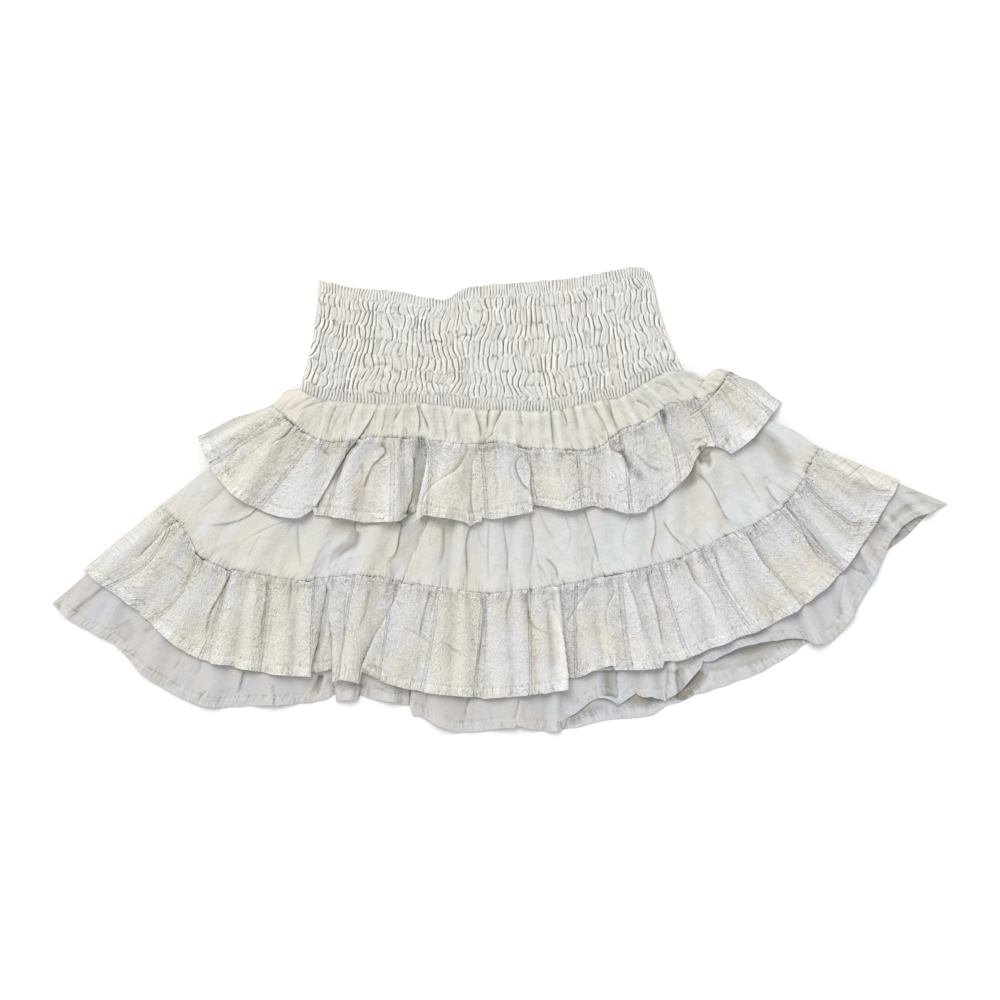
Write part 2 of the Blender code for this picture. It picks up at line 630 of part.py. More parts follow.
def build_skirt():
    """Lay the layers from the surface up, then close them with the waistband."""
    bed = Bed()
    tier_panels("upper", "back", UPPER_TIER, BACK_COLUMNS, BACK_ROWS, BACK_ROWS, bed)
    tier_panels("lower", "back", LOWER_TIER, BACK_COLUMNS, BACK_ROWS, BACK_ROWS, bed)
    lining_panel("back", BACK_COLUMNS, bed)
    lining_panel("front", LINING_COLUMNS, bed, LINING_FOLDS)
    tier_panels("lower", "front", LOWER_TIER, LOWER_COLUMNS, LOWER_YOKE_ROWS, LOWER_RUFFLE_ROWS,
                bed, LOWER_FOLDS)
    tier_panels("upper", "front", UPPER_TIER, UPPER_COLUMNS, UPPER_YOKE_ROWS, UPPER_RUFFLE_ROWS,
                bed, UPPER_FOLDS)
    waistband_back()
    waistband_front()
    centre_footprint(list(SKIRT.objects))


SKIRT = clear_scene()
build_skirt()
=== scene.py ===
"""Looks of the tiered ruffle skirt: fine cloth, stitching, finishes, light and camera.

The skirt lies flat on its back. Its panels are laid one on another from the surface up, on the same
threads and folds as the solids, and take the finer creases, gathers, hems and smocking that real
cotton has. Tables and driving sizes are in millimetres in the frame's own axes: X runs across the
skirt, Y towards the waist and Z up from the surface. Meshes are in metres.
"""

import logging
import math
from dataclasses import dataclass, field
from enum import Enum
from typing import Any, NamedTuple, Sequence

import bpy
import numpy as np
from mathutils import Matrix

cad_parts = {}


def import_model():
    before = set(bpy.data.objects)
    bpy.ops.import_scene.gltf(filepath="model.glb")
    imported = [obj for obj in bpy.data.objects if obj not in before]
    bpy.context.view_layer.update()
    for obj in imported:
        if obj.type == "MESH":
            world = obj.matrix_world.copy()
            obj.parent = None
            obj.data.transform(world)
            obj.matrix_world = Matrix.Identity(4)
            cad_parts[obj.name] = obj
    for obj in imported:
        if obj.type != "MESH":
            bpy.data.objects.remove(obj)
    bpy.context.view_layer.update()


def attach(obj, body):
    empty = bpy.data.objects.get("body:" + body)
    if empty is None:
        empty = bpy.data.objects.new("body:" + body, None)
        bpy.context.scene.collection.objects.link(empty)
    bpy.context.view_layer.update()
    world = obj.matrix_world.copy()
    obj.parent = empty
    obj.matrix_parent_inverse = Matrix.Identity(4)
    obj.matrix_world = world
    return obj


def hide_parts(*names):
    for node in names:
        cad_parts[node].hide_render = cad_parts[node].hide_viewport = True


LOG = logging.getLogger("skirt")
Array = np.ndarray
Piece = bpy.types.Object

MM = 0.001
CLOTH = 0.6  # thickness of one shell of cloth
LAYER_GAP = 0.5  # clearance between two layers
SEAM_GAP = 0.3  # clearance between two pieces sewn edge to edge
FRONT_LOFT = 1.0  # air under a front panel, which is never pressed
RUFFLE_HEM = 8.0
LINING_HEM = 8.0
BACK_SHORT = 4.0  # the back hems lie this far inside the front ones
EDGE_REST = 12.0  # the folds die away over this distance from a side fold
LEAN_REACH = 1.6  # a fold leans the cloth over out to this many half widths from its crest
LEAN_REST = 0.25
STEP = 0.004  # step across by which a curve's direction is read
SEED = 29
STUDIO_GAIN = 1.04  # how much the studio's light, thrown from cloth to cloth, lifts a colour
SHARP_EDGE = math.radians(70)  # edges that turn more than this stay sharp
BODY = "root"


# ---- the cut, as it lies

class Seam(NamedTuple):
    """A point of the waist seam or of the waistband's top edge."""
    across: float  # share of the way from the left side fold to the right one
    x: float
    y: float


class Thread(NamedTuple):
    """One lengthwise thread of a tier, from the waist seam through the gather seam to the hem."""
    across: float
    waist: float  # where it leaves the waist seam, as a share of the way across
    gather_x: float
    gather_y: float
    hem_x: float
    hem_y: float


class Drop(NamedTuple):
    """How far the back of the lining hangs past its front; less than nothing is shorter."""
    across: float
    past: float


class Fold(NamedTuple):
    """A soft ridge of cloth that widens from its head to its foot and may lean over sideways."""
    head_x: float
    head_y: float
    foot_x: float
    foot_y: float
    head_width: float
    foot_width: float
    head_height: float
    foot_height: float
    lean: float = 0.0  # sideways shift of the crest for each millimetre of height


class Crease(NamedTuple):
    """A narrow valley; the cloth on one of its sides may lap over the other."""
    path: tuple  # x and y of its points, from its head to its foot
    depth: float
    reach: float  # how far to each side it lifts or lowers the cloth
    lap: float = 0.0  # overlap of the side on the left hand of the path; below 0 the right
    open_foot: bool = False  # it runs out through the hem at its full depth


class Nudge(NamedTuple):
    """A place at which the cloth lies aside of its even line, such as a dip in a side fold."""
    x: float
    y: float
    right: float
    up: float
    reach: float


class HemStep(NamedTuple):
    """A place where the hem jumps from one lobe to the next, which lies over or under it."""
    x: float
    left: float  # how far the hem lies above its even line, just left of the place
    right: float
    reach: float  # distance over which it comes back to that line


class Slant(NamedTuple):
    """How far the woven lines run sideways from the gather seam to the hem, at one place."""
    x: float
    aside: float


def rows_of(kind: type, *rows: tuple) -> tuple:
    """Give the columns of a table the names that its kind of row has."""
    return tuple(kind(*row) for row in rows)


WAIST_SEAM = rows_of(
    Seam,
    (0, -164, 90), (0.05, -150, 84), (0.15, -121, 80), (0.24, -91, 78),
    (0.31, -70, 80), (0.39, -45, 77), (0.48, -16, 74), (0.57, 13, 73),
    (0.68, 46, 73), (0.76, 72, 80), (0.83, 95, 83), (0.9, 117, 95),
    (0.95, 133, 104), (1, 150, 106),
)
WAIST_TOP = rows_of(
    Seam,
    (0, -148, 180), (0.04, -138, 177), (0.12, -116, 173), (0.22, -88, 171),
    (0.31, -62, 166), (0.39, -41, 165), (0.43, -32, 172), (0.49, -13, 175),
    (0.62, 22, 178), (0.75, 58, 181), (0.86, 90, 187), (0.95, 115, 190),
    (1, 124, 184),
)
UPPER_TIER = rows_of(
    Thread,
    (0, 0, -187, 77, -248, 52), (0.02, 0.02, -181, 72, -243, 42),
    (0.06, 0.05, -171, 63, -230, 18), (0.12, 0.085, -155, 51, -201, -6),
    (0.167, 0.12, -138, 46, -173, -14), (0.21, 0.155, -123, 48, -143, -13),
    (0.26, 0.21, -105, 50, -116, -17), (0.31, 0.27, -84, 50, -86, -17),
    (0.36, 0.33, -64, 49, -64, -9), (0.4, 0.39, -46, 46, -46, -14),
    (0.44, 0.45, -26, 44, -24, -17), (0.5, 0.52, -2, 46, 4, -14),
    (0.557, 0.59, 24, 41, 31, -7), (0.616, 0.67, 52, 40, 58, -8),
    (0.67, 0.74, 77, 41, 82, -3), (0.72, 0.79, 96, 54, 107, -9),
    (0.78, 0.85, 122, 65, 132, 0), (0.83, 0.9, 138, 77, 150, 21),
    (0.88, 0.93, 156, 80, 169, 44), (0.927, 0.965, 174, 87, 196, 46),
    (1, 1, 189, 105, 231, 80),
)
LOWER_TIER = rows_of(
    Thread,
    (0, 0.016, -278, -5, -341, -57), (0.021, 0.036, -269, -14, -328, -68),
    (0.048, 0.062, -258, -25, -310, -79), (0.088, 0.101, -246, -45, -286, -100),
    (0.129, 0.141, -229, -55, -256, -124), (0.18, 0.19, -200, -61, -216, -136),
    (0.235, 0.243, -167, -66, -177, -142), (0.283, 0.29, -139, -64, -139, -141),
    (0.328, 0.334, -111, -62, -106, -145), (0.38, 0.384, -80, -68, -68, -155),
    (0.436, 0.438, -47, -73, -26, -160), (0.493, 0.493, -12, -77, 17, -159),
    (0.547, 0.545, 25, -74, 51, -153), (0.598, 0.595, 58, -69, 84, -138),
    (0.648, 0.643, 89, -62, 119, -138), (0.698, 0.692, 119, -56, 155, -128),
    (0.751, 0.743, 150, -47, 191, -113), (0.8, 0.79, 179, -33, 226, -99),
    (0.85, 0.839, 207, -21, 255, -80), (0.905, 0.892, 234, -3, 286, -50),
    (0.958, 0.943, 249, 20, 311, -10), (1, 0.984, 261, 43, 327, 16),
)
# The lining has no gather seam: its middle points only guide the threads under the lower tier's.
LINING = rows_of(
    Thread,
    (0, 0.03, -278, -10, -367, -85), (0.035, 0.063, -262, -23, -344, -104),
    (0.073, 0.099, -246, -46, -320, -115), (0.124, 0.147, -221, -58, -287, -147),
    (0.177, 0.196, -190, -64, -247, -167), (0.235, 0.251, -154, -66, -200, -168),
    (0.288, 0.301, -123, -62, -154, -166), (0.335, 0.345, -94, -67, -117, -162),
    (0.378, 0.385, -70, -70, -80, -169), (0.431, 0.435, -41, -74, -36, -189),
    (0.489, 0.49, -4, -76, 10, -186), (0.537, 0.535, 28, -73, 46, -188),
    (0.59, 0.585, 58, -68, 82, -161), (0.64, 0.632, 89, -61, 123, -163),
    (0.687, 0.676, 117, -56, 158, -145), (0.746, 0.731, 150, -46, 201, -119),
    (0.798, 0.78, 178, -33, 246, -114), (0.834, 0.814, 202, -23, 268, -116),
    (0.88, 0.857, 226, -11, 294, -85), (0.928, 0.902, 244, 12, 312, -51),
    (0.963, 0.935, 255, 27, 328, -23), (1, 0.97, 264, 39, 367, -3),
)
LINING_BACK_DROP = rows_of(
    Drop,
    (0, -4), (0.53, -4), (0.59, 20), (0.64, 15), (0.69, 17),
    (0.75, 25), (0.8, 5), (0.83, -4), (0.93, -4), (0.96, 8), (1, -4),
)
UPPER_FOLDS = rows_of(
    Fold,
    # lobes of the ruffle, from left to right
    (-190, 74, -239, 44, 11, 21, 2, 4), (-175, 59, -216, 1, 15, 39, 3, 6, 0.3),
    (-149, 49, -172, -20, 25, 52, 3, 7, 0.6), (-121, 39, -128, -22, 18, 38, 3, 7, -0.5),
    (-87, 43, -91, -23, 21, 36, 4, 8, 0.9), (-39, 41, -46, -22, 25, 49, 5, 9, -1.1),
    (5, 43, 7, -20, 30, 44, 3, 6, 0.5), (40, 35, 55, -15, 26, 54, 4, 7, -0.3),
    (86, 42, 105, -14, 23, 48, 4, 7, -0.5), (123, 61, 153, 11, 21, 43, 4, 8, 0.8),
    (164, 80, 204, 49, 20, 36, 3, 6, -0.5), (184, 96, 228, 75, 10, 18, 1, 3),
    # gathers of the yoke
    (-159, 82, -165, 64, 10, 11, 1.5, 1.5), (-137, 77, -147, 50, 11, 13, 2, 2, 0.2),
    (-114, 75, -123, 49, 12, 15, 2.5, 2, -0.3), (-94, 75, -99, 48, 11, 13, 2.5, 2, 0.3),
    (-78, 76, -82, 51, 11, 13, 2.5, 2, 0.3), (-60, 74, -57, 49, 15, 18, 4, 3, -0.6),
    (-41, 74, -38, 47, 11, 13, 2, 2), (-23, 73, -20, 44, 11, 12, 2.5, 2, 0.3),
    (-5, 71, -9, 44, 11, 11, 2.5, 2, -0.3), (11, 71, 12, 48, 11, 13, 2, 2),
    (29, 71, 31, 42, 11, 13, 2.5, 2, 0.3), (46, 71, 50, 41, 11, 12, 2, 2),
    (64, 73, 71, 43, 12, 15, 3, 2.5, 0.4), (81, 78, 92, 50, 11, 15, 3, 2.5, 0.4),
    (100, 82, 112, 60, 11, 13, 2.5, 2.5, 0.3), (118, 91, 136, 74, 11, 14, 3, 3, 0.6),
    (134, 100, 154, 82, 11, 15, 3, 3, 0.5), (155, 104, 174, 90, 11, 13, 2.5, 2, 0.3),
)
LOWER_FOLDS = rows_of(
    Fold,
    # lobes of the ruffle, from left to right
    (-274, -12, -328, -61, 16, 28, 1.5, 3), (-258, -27, -305, -82, 18, 33, 2, 4, -0.5),
    (-234, -55, -269, -115, 21, 46, 2, 5), (-216, -62, -228, -135, 13, 26, 3, 5, -0.8),
    (-200, -64, -208, -141, 13, 28, 3, 5, 0.5), (-178, -66, -180, -146, 21, 34, 3, 5, -0.4),
    (-157, -68, -162, -146, 20, 30, 3, 6, 0.8), (-113, -66, -123, -156, 33, 26, 4, 9, -0.6),
    (-75, -74, -88, -156, 21, 43, 3, 6, -0.8), (-49, -76, -54, -162, 20, 38, 3, 5, 0.3),
    (-31, -77, -31, -166, 13, 31, 3, 5, 0.4), (-5, -80, 0, -166, 16, 36, 3, 5, -0.4),
    (14, -78, 23, -166, 15, 34, 3, 5, 0.3), (31, -76, 37, -164, 15, 25, 2, 5),
    (45, -74, 48, -164, 13, 20, 4, 9, 0.8), (64, -73, 74, -146, 18, 31, 3, 5, -0.3),
    (82, -68, 92, -143, 13, 21, 2, 3, 0.3), (102, -64, 117, -145, 16, 38, 3, 6, 0.9),
    (138, -56, 158, -135, 25, 41, 3, 6, -0.3), (159, -48, 184, -125, 13, 30, 3, 5, 0.4),
    (178, -38, 210, -114, 16, 36, 3, 5, -0.3), (197, -32, 238, -94, 15, 31, 3, 5, 0.5),
    (220, -21, 266, -76, 23, 41, 3, 6, 0.6), (244, 0, 286, -50, 15, 30, 3, 6, -0.7),
    (256, 16, 305, -23, 16, 31, 3, 5, 0.3), (267, 32, 325, 6, 13, 25, 2, 3),
    # gathers of the yoke that show below the upper tier
    (-213, 9, -246, -41, 21, 30, 2, 3, -0.3), (-172, 1, -205, -54, 28, 31, 3, 3),
    (-137, -2, -164, -61, 30, 33, 5, 4, 0.8), (-94, -2, -113, -61, 28, 30, 5, 3, 0.5),
    (-47, 4, -57, -68, 28, 28, 6, 4, -0.9), (-32, 0, -36, -72, 15, 18, 4, 3, 0.5),
    (-6, 0, -5, -76, 31, 30, 4, 3), (17, 0, 17, -73, 18, 21, 3, 3, -0.3),
    (50, 4, 59, -68, 36, 39, 4, 5, 0.5), (100, 8, 107, -58, 36, 33, 5, 4, 0.5),
    (140, 12, 141, -48, 21, 23, 4, 3, -0.4), (166, 28, 173, -35, 31, 28, 5, 4, 0.4),
    (199, 41, 214, -18, 28, 28, 4, 4), (227, 59, 246, 14, 28, 25, 4, 3, 0.3),
)
LINING_FOLDS = rows_of(
    Fold,
    (-337, -59, -359, -96, 15, 21, 2, 3, 0.5), (-311, -78, -329, -117, 16, 28, 2, 3),
    (-278, -111, -296, -155, 25, 38, 3, 4, -0.3), (-236, -128, -242, -176, 28, 41, 3, 5, 0.3),
    (-187, -132, -187, -178, 33, 49, 4, 5, 0.3), (-127, -136, -124, -174, 20, 23, 5, 7, 0.4),
    (-93, -144, -93, -179, 28, 36, 4, 6, 0.9), (-49, -152, -49, -199, 36, 41, 5, 7, -0.3),
    (7, -152, 10, -197, 46, 59, 4, 6), (43, -152, 44, -199, 17, 20, 4, 4, 0.4),
    (86, -128, 92, -179, 25, 31, 3, 4, -0.3), (118, -128, 125, -174, 20, 23, 3, 5),
    (140, -128, 143, -174, 11, 18, 4, 7, 0.3), (193, -99, 207, -128, 36, 49, 3, 4),
    (245, -78, 264, -128, 18, 25, 4, 6, -0.4), (278, -66, 289, -109, 18, 25, 3, 5, 0.3),
    (297, -41, 314, -76, 16, 21, 4, 5, -0.4), (315, -17, 335, -40, 13, 16, 4, 4, 0.3),
    (332, 4, 356, -17, 15, 21, 3, 4),
)
UPPER_CREASES = rows_of(
    Crease,
    # side tip, lobe edge
    ((-187, 64, -205, 51, -225, 37), 1.8, 5, 1.2),
    ((-166, 61, -175, 51, -184, 46, -186, 38, -190, 32), 2.2, 4, 0.8),
    ((-141, 80, -150, 77, -160, 73, -167, 64), 2.8, 4, 0.9),
    ((-100, 77, -109, 61, -118, 48, -127, 35, -137, 19, -142, 9, -151, -9), 3.2, 6, -2.2, True),
    ((-116, 50, -127, 32, -133, 18, -137, 8), 3.2, 3.5),
    # bump of the left shoulder
    ((-166, 84, -175, 76, -179, 66), 1.2, 5, 0.5), ((-91, 77, -94, 60, -98, 48), 3, 4, 1.2),
    ((-77, 79, -83, 68, -88, 60), 2.2, 3.5, 1), ((-69, 79, -66, 65, -68, 50), 3, 3.5, -1.2),
    ((-64, 79, -60, 70, -56, 60, -56, 50), 5.4, 4.5, 1.2),
    # recess, right edge
    ((-56, 56, -57, 34, -61, 12, -65, -2, -65, -16), 4.4, 8, 4.2, True),
    # recess, left edge
    ((-71, 36, -71, 16, -73, 0, -78, -11), 3, 6, -1.5, True),
    ((-63, 54, -65, 30, -68, 8, -72, -14), 3.8, 5.5, 0, True),
    ((-99, 46, -95, 41, -105, 27, -111, 11, -112, -3), 2.4, 5, -1),
    ((-27, 38, -32, 25, -39, 17, -53, 8, -58, 3, -59, -10), 2.2, 4, 1.2, True),
    ((-15, 42, -21, 32, -22, 16, -22, -4, -19, -16), 1.8, 5, 1.2, True),
    ((-3, 53, -9, 50, -14, 44), 2.2, 3, 0.8), ((18, 36, 13, 29, 16, 18, 24, 8, 30, 2), 2.2, 5, 1.4),
    ((21, 31, 24, 26, 24, 13, 26, -8), 1.8, 4, -1.8, True), ((49, 27, 51, 19, 53, 10), 1.3, 4, 0.8),
    ((53, 0, 74, 9, 78, 5), 1.8, 3, -1),
    ((86, 58, 88, 46, 91, 40, 98, 37, 103, 27, 105, 19, 104, 8), 3, 5, -1.8),
    ((96, 41, 105, 29, 113, 20, 121, 8), 2.2, 4),
    # yoke, right
    ((74, 81, 82, 67, 87, 56, 88, 41), 2, 4, 1), ((89, 82, 93, 67, 98, 56), 2.6, 4, 1),
    ((131, 73, 134, 66, 134, 58), 3, 2), ((50, 76, 55, 64, 55, 57), 2, 3, 1),
    ((60, 77, 63, 64, 64, 52), 1.6, 4, 0.8), ((40, 75, 41, 60, 43, 41), 2.2, 3, -1),
    ((17, 75, 18, 66, 20, 57), 2.4, 3, 1), ((-10, 76, -11, 65, -11, 54), 2.2, 3, -1),
    ((4, 75, -3, 61, -7, 50, -17, 42), 2.6, 3.5, 1.2), ((-25, 77, -18, 61, -16, 44), 2.4, 3.5, -1),
    ((-36, 77, -39, 65, -41, 55), 1.8, 4, 0.8), ((123, 95, 136, 91, 148, 82), 2.4, 4, -1.2),
    ((110, 80, 117, 77, 123, 72), 2.6, 4, -0.8), ((166, 101, 166, 97, 162, 90), 2.6, 3, 1.4),
    # ruffle head, right
    ((188, 104, 178, 89, 169, 79, 155, 68, 141, 64), 2, 4, 1.2),
    ((155, 85, 162, 80, 170, 80), 1.7, 3, -0.8), ((154, 48, 159, 50, 169, 51), 1.4, 3, 0.8),
    # hole under the right lobe
    ((170, 48, 166, 38, 171, 30, 174, 26), 4.5, 5, 1.5), ((164, 45, 167, 38, 170, 30), 4, 5),
    ((110, 39, 125, 27, 141, 23), 1.2, 5, 0.6), ((178, 36, 184, 50, 199, 61), 1, 5, -0.5),
    ((-131, 77, -137, 65, -140, 52), 1.8, 4, 0.8), ((-117, 79, -123, 65, -123, 57), 1.8, 4, -0.8),
    ((-156, 49, -146, 43, -136, 34), 1, 4, 0.5), ((-210, 46, -219, 31, -220, 18), 0.8, 5, 0.5),
    ((-5, 24, -2, 10, -5, -5), 1, 5, 0.5), ((68, 31, 82, 24, 81, 13), 0.9, 4, 0.5),
)
LOWER_CREASES = rows_of(
    Crease,
    # left
    ((-219, 13, -237, -3, -254, -17), 1.4, 6, 0.6),
    ((-196, -3, -205, -12, -220, -18, -242, -21), 2.6, 4.5, -1),
    ((-86, -16, -78, -11, -69, -8), 5, 6),
    ((-172, -17, -192, -25, -211, -37, -217, -51), 1.4, 8, 0.6),
    ((-117, -15, -118, -33, -124, -41, -137, -52, -140, -64), 2.6, 6, 1.8),
    ((-116, -24, -120, -36, -127, -41, -138, -54), 3.6, 4),
    ((-81, -16, -83, -27, -85, -39, -88, -46, -95, -47), 3.4, 6, -1.8),
    ((-88, -46, -86, -56, -87, -66, -93, -88), 2.2, 4), ((-71, -16, -77, -38, -84, -62), 1.8, 6),
    # big lobe, left edge
    ((-60, -18, -68, -40, -76, -64, -84, -83, -94, -100, -106, -124, -112, -142), 3.4, 8, 3.2, True),
    ((-55, -14, -64, -37, -71, -60), 1.8, 5, 1), ((-45, -20, -46, -40, -50, -60), 1.7, 4, -0.8),
    ((-24, -17, -29, -36, -28, -55, -27, -73), 2.4, 5, -1.2),
    ((-8, -17, -9, -43, -8, -73), 1.2, 8, 0.6), ((3, -17, 7, -46, 6, -71), 1.8, 4, 0.8),
    ((25, -10, 28, -29, 27, -48, 23, -69), 1.8, 4, 0.8), ((32, -51, 37, -60, 41, -68), 1.4, 3, 0.6),
    ((38, -46, 46, -56, 47, -70), 2, 4, 0.8),
    ((69, -5, 73, -18, 78, -34, 82, -51, 87, -63), 2.3, 5, 1.2),
    ((77, -46, 76, -55, 76, -64), 1.2, 3, 0.6),
    ((123, -3, 126, -23, 123, -43, 124, -55), 2.4, 5, -1.2),
    ((134, -16, 142, -28, 150, -36, 158, -40), 2.6, 5, 0.8),
    ((159, 24, 168, 14, 178, -1, 186, -15, 197, -25), 2.6, 6, 0.9),
    ((159, 36, 166, 37, 173, 35), 5, 5), ((161, 33, 168, 31, 174, 28), 4, 4.5),
    ((152, 26, 156, 18, 161, 11), 2, 6), ((190, 66, 205, 56, 222, 45, 236, 26, 243, 8), 3.2, 8),
    ((218, 12, 224, 2, 231, -5), 2.2, 5, 1), ((107, -10, 100, -30, 102, -46), 1, 7, 0.5),
    ((50, -12, 55, -30, 51, -46), 1, 7, -0.5), ((-164, -18, -164, -37, -163, -59), 1.4, 5, 0.6),
    ((-195, -27, -203, -40, -208, -55), 1, 6, -0.5), ((197, 24, 207, 8, 217, -10), 1.2, 7, 0.5),
    # ruffle, from the left
    ((-259, -17, -270, -23, -282, -35, -302, -55), 4.4, 4, 1.6),
    ((-259, -23, -264, -29, -271, -34), 1.3, 4, 0.6),
    ((-218, -55, -228, -75, -239, -96, -241, -109, -245, -120), 2.8, 5, -1.2),
    ((-191, -62, -192, -81, -195, -100, -198, -125), 2.2, 5, -1),
    ((-170, -66, -170, -82, -173, -100), 1.2, 3, 0.6),
    ((-143, -66, -143, -76, -146, -93, -149, -114, -155, -128, -157, -143), 3.6, 7, -2.2, True),
    ((-142, -72, -145, -93, -149, -114, -154, -128), 3, 3.5),
    # narrow lobe, left edge
    ((-139, -90, -136, -109, -135, -150), 2.8, 7, 2.8, True),
    ((-107, -71, -110, -93, -116, -110), 1.8, 5, -0.8),
    ((-124, -73, -125, -93, -123, -110, -127, -130), 1.2, 5, 0.5),
    ((-57, -72, -61, -86, -65, -101, -67, -119), 1.8, 4, -1),
    ((-50, -74, -54, -86, -57, -97), 1.2, 4, 0.6),
    ((-18, -76, -14, -91, -16, -110, -22, -150), 1.8, 7, -1),
    ((-11, -77, -10, -98, -13, -150), 1.3, 4, 1), ((9, -76, 5, -88, 5, -107), 1.6, 4, -0.8),
    ((22, -74, 24, -91, 25, -98, 36, -107, 46, -111), 1.8, 5, 0.8),
    ((41, -73, 42, -89, 48, -105), 1.6, 4, -0.8), ((49, -69, 48, -81, 48, -95), 1.4, 3, 0.6),
    ((74, -71, 63, -88, 51, -108), 2.3, 6, 1.2),
    # lobe edge over the right
    ((46, -105, 49, -129, 51, -150, 50, -166), 2.6, 6, -2.4, True),
    ((92, -64, 93, -77, 88, -87, 89, -118), 1.8, 4, 1),
    ((100, -64, 107, -82, 110, -93, 115, -117), 1.6, 4, -0.8),
    ((118, -57, 121, -71, 126, -88, 130, -109, 135, -132), 2.6, 5, -1.4),
    ((150, -48, 158, -66, 170, -83, 177, -107), 2.3, 6, -1.2),
    ((173, -41, 182, -66, 193, -83, 209, -105), 2.2, 6, -1),
    ((201, -28, 212, -51, 223, -64), 2.2, 5, -1),
    ((230, -3, 243, -20, 253, -39, 262, -50, 269, -55), 2.6, 5, -1.5),
    ((235, -5, 248, -19, 262, -36, 273, -50), 1.7, 4, 1),
    ((278, 36, 296, 21, 308, 9, 323, 9), 1.7, 4, 1), ((291, 17, 297, 8, 297, -2), 1.3, 6),
    ((301, 0, 294, -17, 292, -34), 1.3, 5, 0.6), ((-270, -50, -257, -58, -249, -69), 0.9, 5, 0.5),
    ((-45, -115, -35, -123, -24, -128), 0.9, 5, 0.5),
    ((-77, -105, -65, -112, -52, -123), 0.9, 5, -0.5),
    ((156, -99, 164, -115, 166, -125), 0.9, 5, 0.5),
)
LINING_CREASES = rows_of(
    Crease,
    # left tip
    ((-324, -69, -336, -79, -352, -92), 2.4, 6, -1), ((-363, -79, -360, -86, -360, -93), 2, 4, 1),
    # side seam
    ((-310, -79, -317, -91, -327, -107), 1.2, 3, 0.6),
    ((-309, -100, -305, -109, -306, -117), 1.2, 6),
    ((-309, -123, -296, -131, -289, -137, -273, -147), 1.8, 3, -0.8),
    ((-259, -126, -262, -133, -268, -141), 1.2, 6, 0.5),
    ((-244, -131, -244, -138, -251, -145), 1.8, 4, 1),
    ((-240, -156, -243, -159, -246, -164), 2, 3, 0.8),
    ((-210, -137, -213, -150, -216, -161), 2.2, 5, -1.2),
    # dark band
    ((-146, -142, -149, -152, -154, -163), 4.6, 2.6),
    ((-136, -145, -135, -155, -133, -168), 2.8, 5, 2, True),
    ((-115, -150, -116, -156, -118, -165), 3.4, 4, -1.8, True),
    ((-71, -153, -72, -160, -73, -174), 3.6, 5, 2.2, True),
    ((-188, -150, -187, -160, -186, -172), 1.8, 5, -1, True),
    ((-103, -154, -95, -158, -75, -161), 1.6, 3, -0.6),
    ((17, -162, 15, -173, 12, -182), 2.4, 5, 1.4),
    ((48, -184, 55, -183, 60, -187), 2.2, 3, 0, True),
    ((-56, -154, -58, -162, -59, -169), 1.4, 4, 0.6),
    ((-23, -160, -27, -173, -28, -182), 2.6, 5, 1.5),
    ((97, -134, 97, -148, 99, -166), 2, 6, 1.5, True),
    ((88, -137, 89, -148, 91, -158), 4.2, 7, 0, True),
    ((136, -135, 135, -151, 135, -166), 1.4, 4, -1.0, True),
    ((143, -136, 145, -149, 145, -160), 3.6, 6, 0, True), ((326, 4, 337, 5, 348, 5), 1.7, 3, -0.8),
    ((353, 1, 330, -9, 319, -19, 308, -30, 302, -43, 298, -51), 1.6, 3),
    ((285, -55, 293, -59, 304, -62), 2.6, 4, -1), ((282, -62, 278, -82, 282, -105), 1.2, 6, 0.5),
    ((215, -123, 219, -115, 222, -109), 1, 5, 0.5),
)
LINING_BACK_CREASES = rows_of(
    Crease,
    # tuck
    ((163, -139, 182, -137, 199, -134, 215, -129, 230, -124), 3.2, 2.6),
    ((170, -132, 188, -127, 206, -124, 226, -118, 248, -114), 4.4, 4.5, 0, True),
    ((48, -187, 60, -180, 70, -175, 80, -171, 94, -168), 4.4, 4.2),
    ((101, -163, 114, -165, 126, -167, 134, -170), 5, 5.5),
    ((146, -168, 153, -159, 158, -150, 164, -139), 7.5, 6, 0, True),
    ((310, -46, 328, -28, 345, -18, 364, -9), 4.5, 7, 0, True),
    ((73, -166, 74, -174, 76, -181), 1.5, 4, 0.5), ((207, -135, 208, -140, 207, -145), 1.2, 4, 0.5),
)
UPPER_HEM_STEPS = rows_of(
    HemStep,
    (-152, 7, 2, 7), (-65, 2, -9, 6), (-24, -4, -4, 3), (-15, -1, 3, 5),
    (26, -2, 5, 9), (83, -4, -4, 7), (120, -3, 0, 8), (188, -7, -7, 8),
)
LINING_BACK_HEM_STEPS = rows_of(
    HemStep,
    (137, 6, 6, 14), (163, 3, 3, 10),
)
LOWER_NUDGES = rows_of(
    Nudge,
    (242, 62, 2, 3, 13),
)
UPPER_NUDGES = rows_of(
    Nudge,
    (-175, 88, -2, 5, 9), (-219, 66, -0.5, 2.5, 16),
    (166, 105, 0, -6, 6), (180, 106, 0, 2.5, 6), (209, 94, 1.5, 3, 11),
)
LOWER_HEM_STEPS = rows_of(
    HemStep,
    (-158, -2, 2, 7), (-135, 5, -7, 10), (-112, -6, 5, 10),
    (-12, -2, -2, 5), (51, 0, 9, 10), (93, 2, -2, 7), (133, -1, 4, 8),
)
LOWER_SLANTS = rows_of(
    Slant,
    (-341, -63), (-310, -52), (-286, -40), (-256, -27), (-226, -17), (-173, -3), (-150, -6),
    (-115, -12), (-74, -16), (-50, -12), (3, -1), (50, 0), (85, 1), (117, 12), (155, 24),
    (191, 38), (226, 46), (286, 52), (327, 66),
)
LINING_HEM_STEPS = rows_of(
    HemStep,
    (-133, 5, -2, 8), (-115, 0, 2, 8), (-72, 4, -4, 7),
    (12, 0, 3, 9), (53, -3, 5, 6), (97, -7, -7, 6), (111, 5, 5, 5),
    (123, 3, 3, 5), (136, -8, -5, 6), (148, -7, -7, 6), (165, 4, 9, 9),
)
